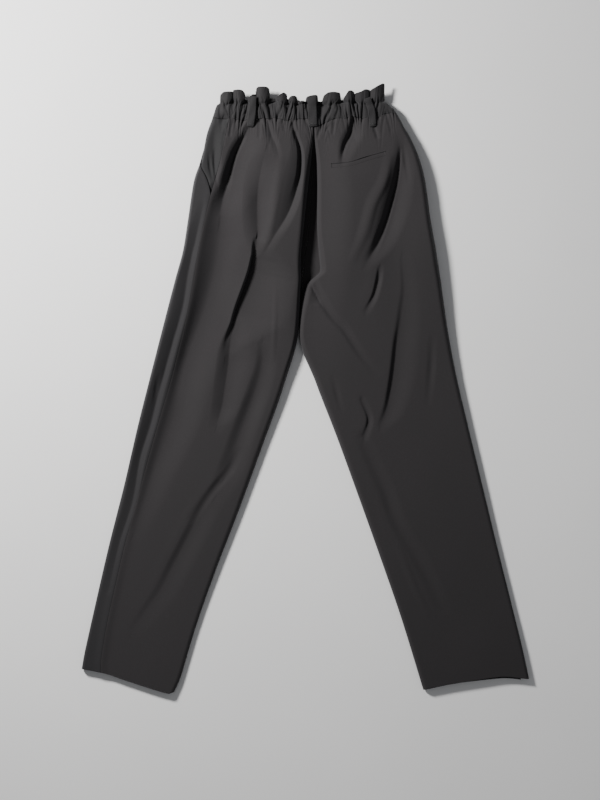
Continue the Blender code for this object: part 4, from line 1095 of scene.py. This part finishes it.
def stitching(name, runs, material):
    """One object from several stitched lines."""
    verts, faces = [], []
    for points, normals, stitch in runs:
        v, f = stitch_run(points, normals, *stitch)
        faces += [tuple(i + len(verts) for i in q) for q in f]
        verts += v
    obj = mesh_object(name, np.array(verts), np.array(faces), None, material)


def on_cloth(tree, path):
    """Points and normals of the cloth under a line seen from above."""
    hits = [(x, y, *drop_on(tree, x, y)) for x, y in path]
    hits = [h for h in hits if h[3] is not None]
    points = np.array([h[:3] for h in hits])
    points[:, 2] = smoothed(points[:, 2], 1)
    return points, unit(np.array([h[3] for h in hits]))


# ---- materials

def node(tree, kind, **values):
    """A shader node.  Lower-case names are its settings, others its inputs (In6 by number),
    each with a value or with a socket to link."""
    made = tree.nodes.new("ShaderNode" + kind)
    for key, value in values.items():
        if key.islower():
            setattr(made, key, value)
            continue
        socket = made.inputs[int(key[2:]) if key[2:].isdigit() else key.replace("_", " ")]
        if isinstance(value, bpy.types.NodeSocket):
            tree.links.new(value, socket)
        else:
            socket.default_value = value
    return made


def ramp(tree, factor, *stops):
    """Colour ramp of (place, grey or colour) stops."""
    made = node(tree, "ValToRGB", Fac=factor)
    while len(made.color_ramp.elements) < len(stops):
        made.color_ramp.elements.new(0.5)
    for element, (at, tone) in zip(made.color_ramp.elements, stops):
        element.position = at
        element.color = (*tone, 1.0) if isinstance(tone, tuple) else (tone, tone, tone, 1.0)
    return made.outputs["Color"]


def times(tree, a, b):
    """Product of two colours."""
    return node(tree, "Mix", data_type="RGBA", blend_type="MULTIPLY", Factor=1.0,
                In6=a, In7=b).outputs[2]


def bumpy(tree, height, strength, distance):
    return node(tree, "Bump", Strength=strength, Distance=distance,
                Height=height).outputs["Normal"]


def new_material(name, diffuse, **inputs):
    """A material with values on its shader's own inputs."""
    material = bpy.data.materials.new(name)
    material.use_nodes = True
    material.diffuse_color = (*diffuse, 1.0)
    shader = material.node_tree.nodes["Principled BSDF"]
    for key, value in inputs.items():
        shader.inputs[key.replace("_", " ")].default_value = value
    return material, material.node_tree, shader


def feed(tree, shader, **sockets):
    for key, socket in sockets.items():
        tree.links.new(socket, shader.inputs[key.replace("_", " ")])


def suiting(name, dark, light, weave):
    """Matte charcoal suiting: fine twill, fibre flecks, slow tone changes, faint nap."""
    material, tree, shader = new_material(
        name, light, Metallic=0.0, Specular_IOR_Level=0.30, Sheen_Weight=0.10,
        Sheen_Roughness=0.55, Sheen_Tint=(0.85, 0.86, 0.92, 1.0))
    uv = node(tree, "UVMap", uv_map="cloth").outputs["UV"]
    where = node(tree, "TexCoord").outputs["Object"]
    twill = node(tree, "TexWave", wave_type="BANDS", bands_direction="DIAGONAL",
                 wave_profile="SIN", Vector=uv, Scale=330.0, Distortion=1.2, Detail=2.0,
                 Detail_Scale=2.0).outputs["Fac"]
    yarn = node(tree, "TexWave", wave_type="BANDS", bands_direction="X", wave_profile="SIN",
                Vector=uv, Scale=620.0, Distortion=1.6, Detail=1.0).outputs["Fac"]
    slub, patch, fleck = (
        node(tree, "TexNoise", Vector=where, Scale=scale, Detail=detail,
             Roughness=rough).outputs["Fac"]
        for scale, detail, rough in ((900.0, 3.0, 0.6), (9.0, 4.0, 0.55), (420.0, 2.0, 0.5)))
    threads = node(tree, "Math", operation="MULTIPLY_ADD", In0=yarn, In1=0.5,
                   In2=twill).outputs[0]
    fuzzy = node(tree, "Math", operation="MULTIPLY_ADD", In0=slub, In1=0.6,
                 In2=threads).outputs[0]
    tone = ramp(tree, patch, (0.30, dark), (0.70, light))
    speck = ramp(tree, fleck, (0.35, 0.93), (0.62, 1.0), (0.80, (1.14, 1.14, 1.15)))
    line = ramp(tree, threads, (0.0, 0.90), (1.0, 1.06))
    feed(tree, shader, Normal=bumpy(tree, fuzzy, 0.35 * weave, 0.00012),
         Base_Color=times(tree, times(tree, tone, speck), line),
         Roughness=ramp(tree, patch, (0.3, 0.80), (0.7, 0.93)))
    return material


def thread(name, dark, light):
    """Spun polyester thread: fine ply lines, a little brighter than the cloth."""
    material, tree, shader = new_material(name, light, Sheen_Weight=0.2,
                                          Specular_IOR_Level=0.4)
    ply = node(tree, "TexWave", wave_type="BANDS", bands_direction="DIAGONAL",
               Vector=node(tree, "TexCoord").outputs["Object"], Scale=1500.0,
               Distortion=0.6).outputs["Fac"]
    feed(tree, shader, Base_Color=ramp(tree, ply, (0.2, dark), (0.8, light)),
         Normal=bumpy(tree, ply, 0.4, 0.0001), Roughness=ramp(tree, ply, (0.0, 0.5), (1.0, 0.66)))
    return material


# ---- floor, light and camera

def studio_floor():
    mesh = bpy.data.meshes.new("floor")
    corners = [(x * FLOOR_HALF, y * FLOOR_HALF, FLOOR_Z)
               for x, y in ((-1, -1), (1, -1), (1, 1), (-1, 1))]
    mesh.from_pydata(corners, [], [(0, 1, 2, 3)])
    floor = add_object("floor", mesh)
    material, tree, shader = new_material("floor_paper", (0.8, 0.8, 0.8), Roughness=0.95,
                                          Specular_IOR_Level=0.1)
    grain = node(tree, "TexNoise", Vector=node(tree, "TexCoord").outputs["Object"], Scale=3.0,
                 Detail=3.0).outputs["Fac"]
    feed(tree, shader, Base_Color=ramp(tree, grain, (0.3, 0.90), (0.7, 0.93)))
    mesh.materials.append(material)


def area_light(name, at, aim, size, power, colour):
    data = bpy.data.lights.new(name, "AREA")
    data.shape = "DISK"
    data.size = size
    data.energy = power
    data.color = colour
    light = add_object(name, data)
    light.location = at
    light.rotation_euler = (Vector(aim) - Vector(at)).to_track_quat("-Z", "Y").to_euler()


def camera_and_lights():
    data = bpy.data.cameras.new("camera")
    data.sensor_width = SENSOR
    data.lens = SENSOR * CAMERA_HEIGHT / (PHOTO_SIZE[1] / PIXELS_PER_METRE)
    data.clip_end = 50.0
    camera = add_object("camera", data)
    camera.location = (
        (PHOTO_SIZE[0] / 2.0 - ORIGIN_PIXEL[0]) / PIXELS_PER_METRE + CENTRING[0] * MM,
        (ORIGIN_PIXEL[1] - PHOTO_SIZE[1] / 2.0) / PIXELS_PER_METRE + CENTRING[1] * MM,
        CAMERA_HEIGHT + CLOTH_LEVEL)
    bpy.context.scene.camera = camera
    for row in LIGHTS:
        area_light(*row)
    world = bpy.data.worlds.new("studio")
    world.use_nodes = True
    sky = world.node_tree.nodes["Background"].inputs
    sky["Color"].default_value = WORLD_COLOUR
    sky["Strength"].default_value = WORLD
    bpy.context.scene.world = world


# ---- making

def make_cloth():
    # The band, front and inside cloths are darker copies of the suiting: painted shade on the
    # waistband and loops, on the front panels and on the pocket facings.
    charcoal, shade_darkened_band, front, inside = (suiting(*row) for row in CLOTHS)
    left = (LEFT_LEG, LEFT_HEM, LEFT_MOUTH)
    right = (RIGHT_LEG, RIGHT_HEM, RIGHT_MOUTH)
    panel("back_left_cloth", *left, True, *BACK_MESH, charcoal)
    panel("back_right_cloth", *right, True, *BACK_MESH, charcoal)
    # The front panels wear the darker copy of the suiting: painted shade.
    panel("front_left_cloth", *left, False, *FRONT_LEFT_MESH, front)
    panel("front_right_cloth", *right, False, *FRONT_RIGHT_MESH, front)
    # The pocket facings wear the darker copy of the suiting: painted shade.
    facing("pocket_facing_left_cloth", LEFT_LEG, LEFT_MOUTH, FACING_COLUMNS[0], inside)
    facing("pocket_facing_right_cloth", RIGHT_LEG, RIGHT_MOUTH, FACING_COLUMNS[1], inside)
    waistband("waistband_back_cloth", True, BAND_MESH[0], shade_darkened_band)
    waistband("waistband_front_cloth", False, BAND_MESH[1], shade_darkened_band)
    return charcoal, shade_darkened_band


def upright(points, lift):
    """Points moved by a lift, and a straight-up direction for each."""
    return points + np.array(lift), np.zeros_like(points) + np.array((0.0, 0.0, 1.0))


def make_trims(body, shade_darkened_band):
    black_thread = thread("charcoal_thread", *THREAD_TONES)
    top = search_tree(*(PIECES[name + "_cloth"] for name in (
        "back_left", "back_right", "front_left", "waistband_back", "pocket_facing_left")))
    # The belt loops wear the band's darker copy of the suiting: painted shade.
    loops = [(name, belt_loop(name + "_cloth", line, width, top, shade_darkened_band))
             for name, line, width in LOOPS]
    welt("welt_back_right_cloth", WELT, WELT_HEIGHT, top, body)
    for name, rows in loops:
        runs = [(*upright(rows[:, j], (0.0, 0.0, 0.05)), LOOP_STITCH) for j in (1, 9)]
        tack = path_points(rows[-4, (0, 3, 7, 10)], 20)
        runs += [(*upright(tack, (0.0, k, 0.25)), TACK_STITCH) for k in (0.0, 0.9, 1.8)]
        stitching(name + "_stitching", runs, black_thread)
    runs = []
    for rise, left, right in ((HEADER_RISE, -143.0, 133.0), (2.2, -156.0, 154.0)):
        path = path_points([(x, WAIST_SEAM_Y + rise) for x in (left, 0.0, right)], 420)
        moved = sway(np.concatenate((path, np.full((len(path), 1), 20.0)), axis=1))
        runs.append((*on_cloth(top, moved[:, :2]), BAND_STITCH))
    stitching("waistband_stitching", runs, black_thread)


def declare():
    """Hide the solids that the cloth pieces stand in for."""
    for node_name, size, held, area in SHEETS:
        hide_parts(node_name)


studio_floor()
make_trims(*make_cloth())
declare()
camera_and_lights()
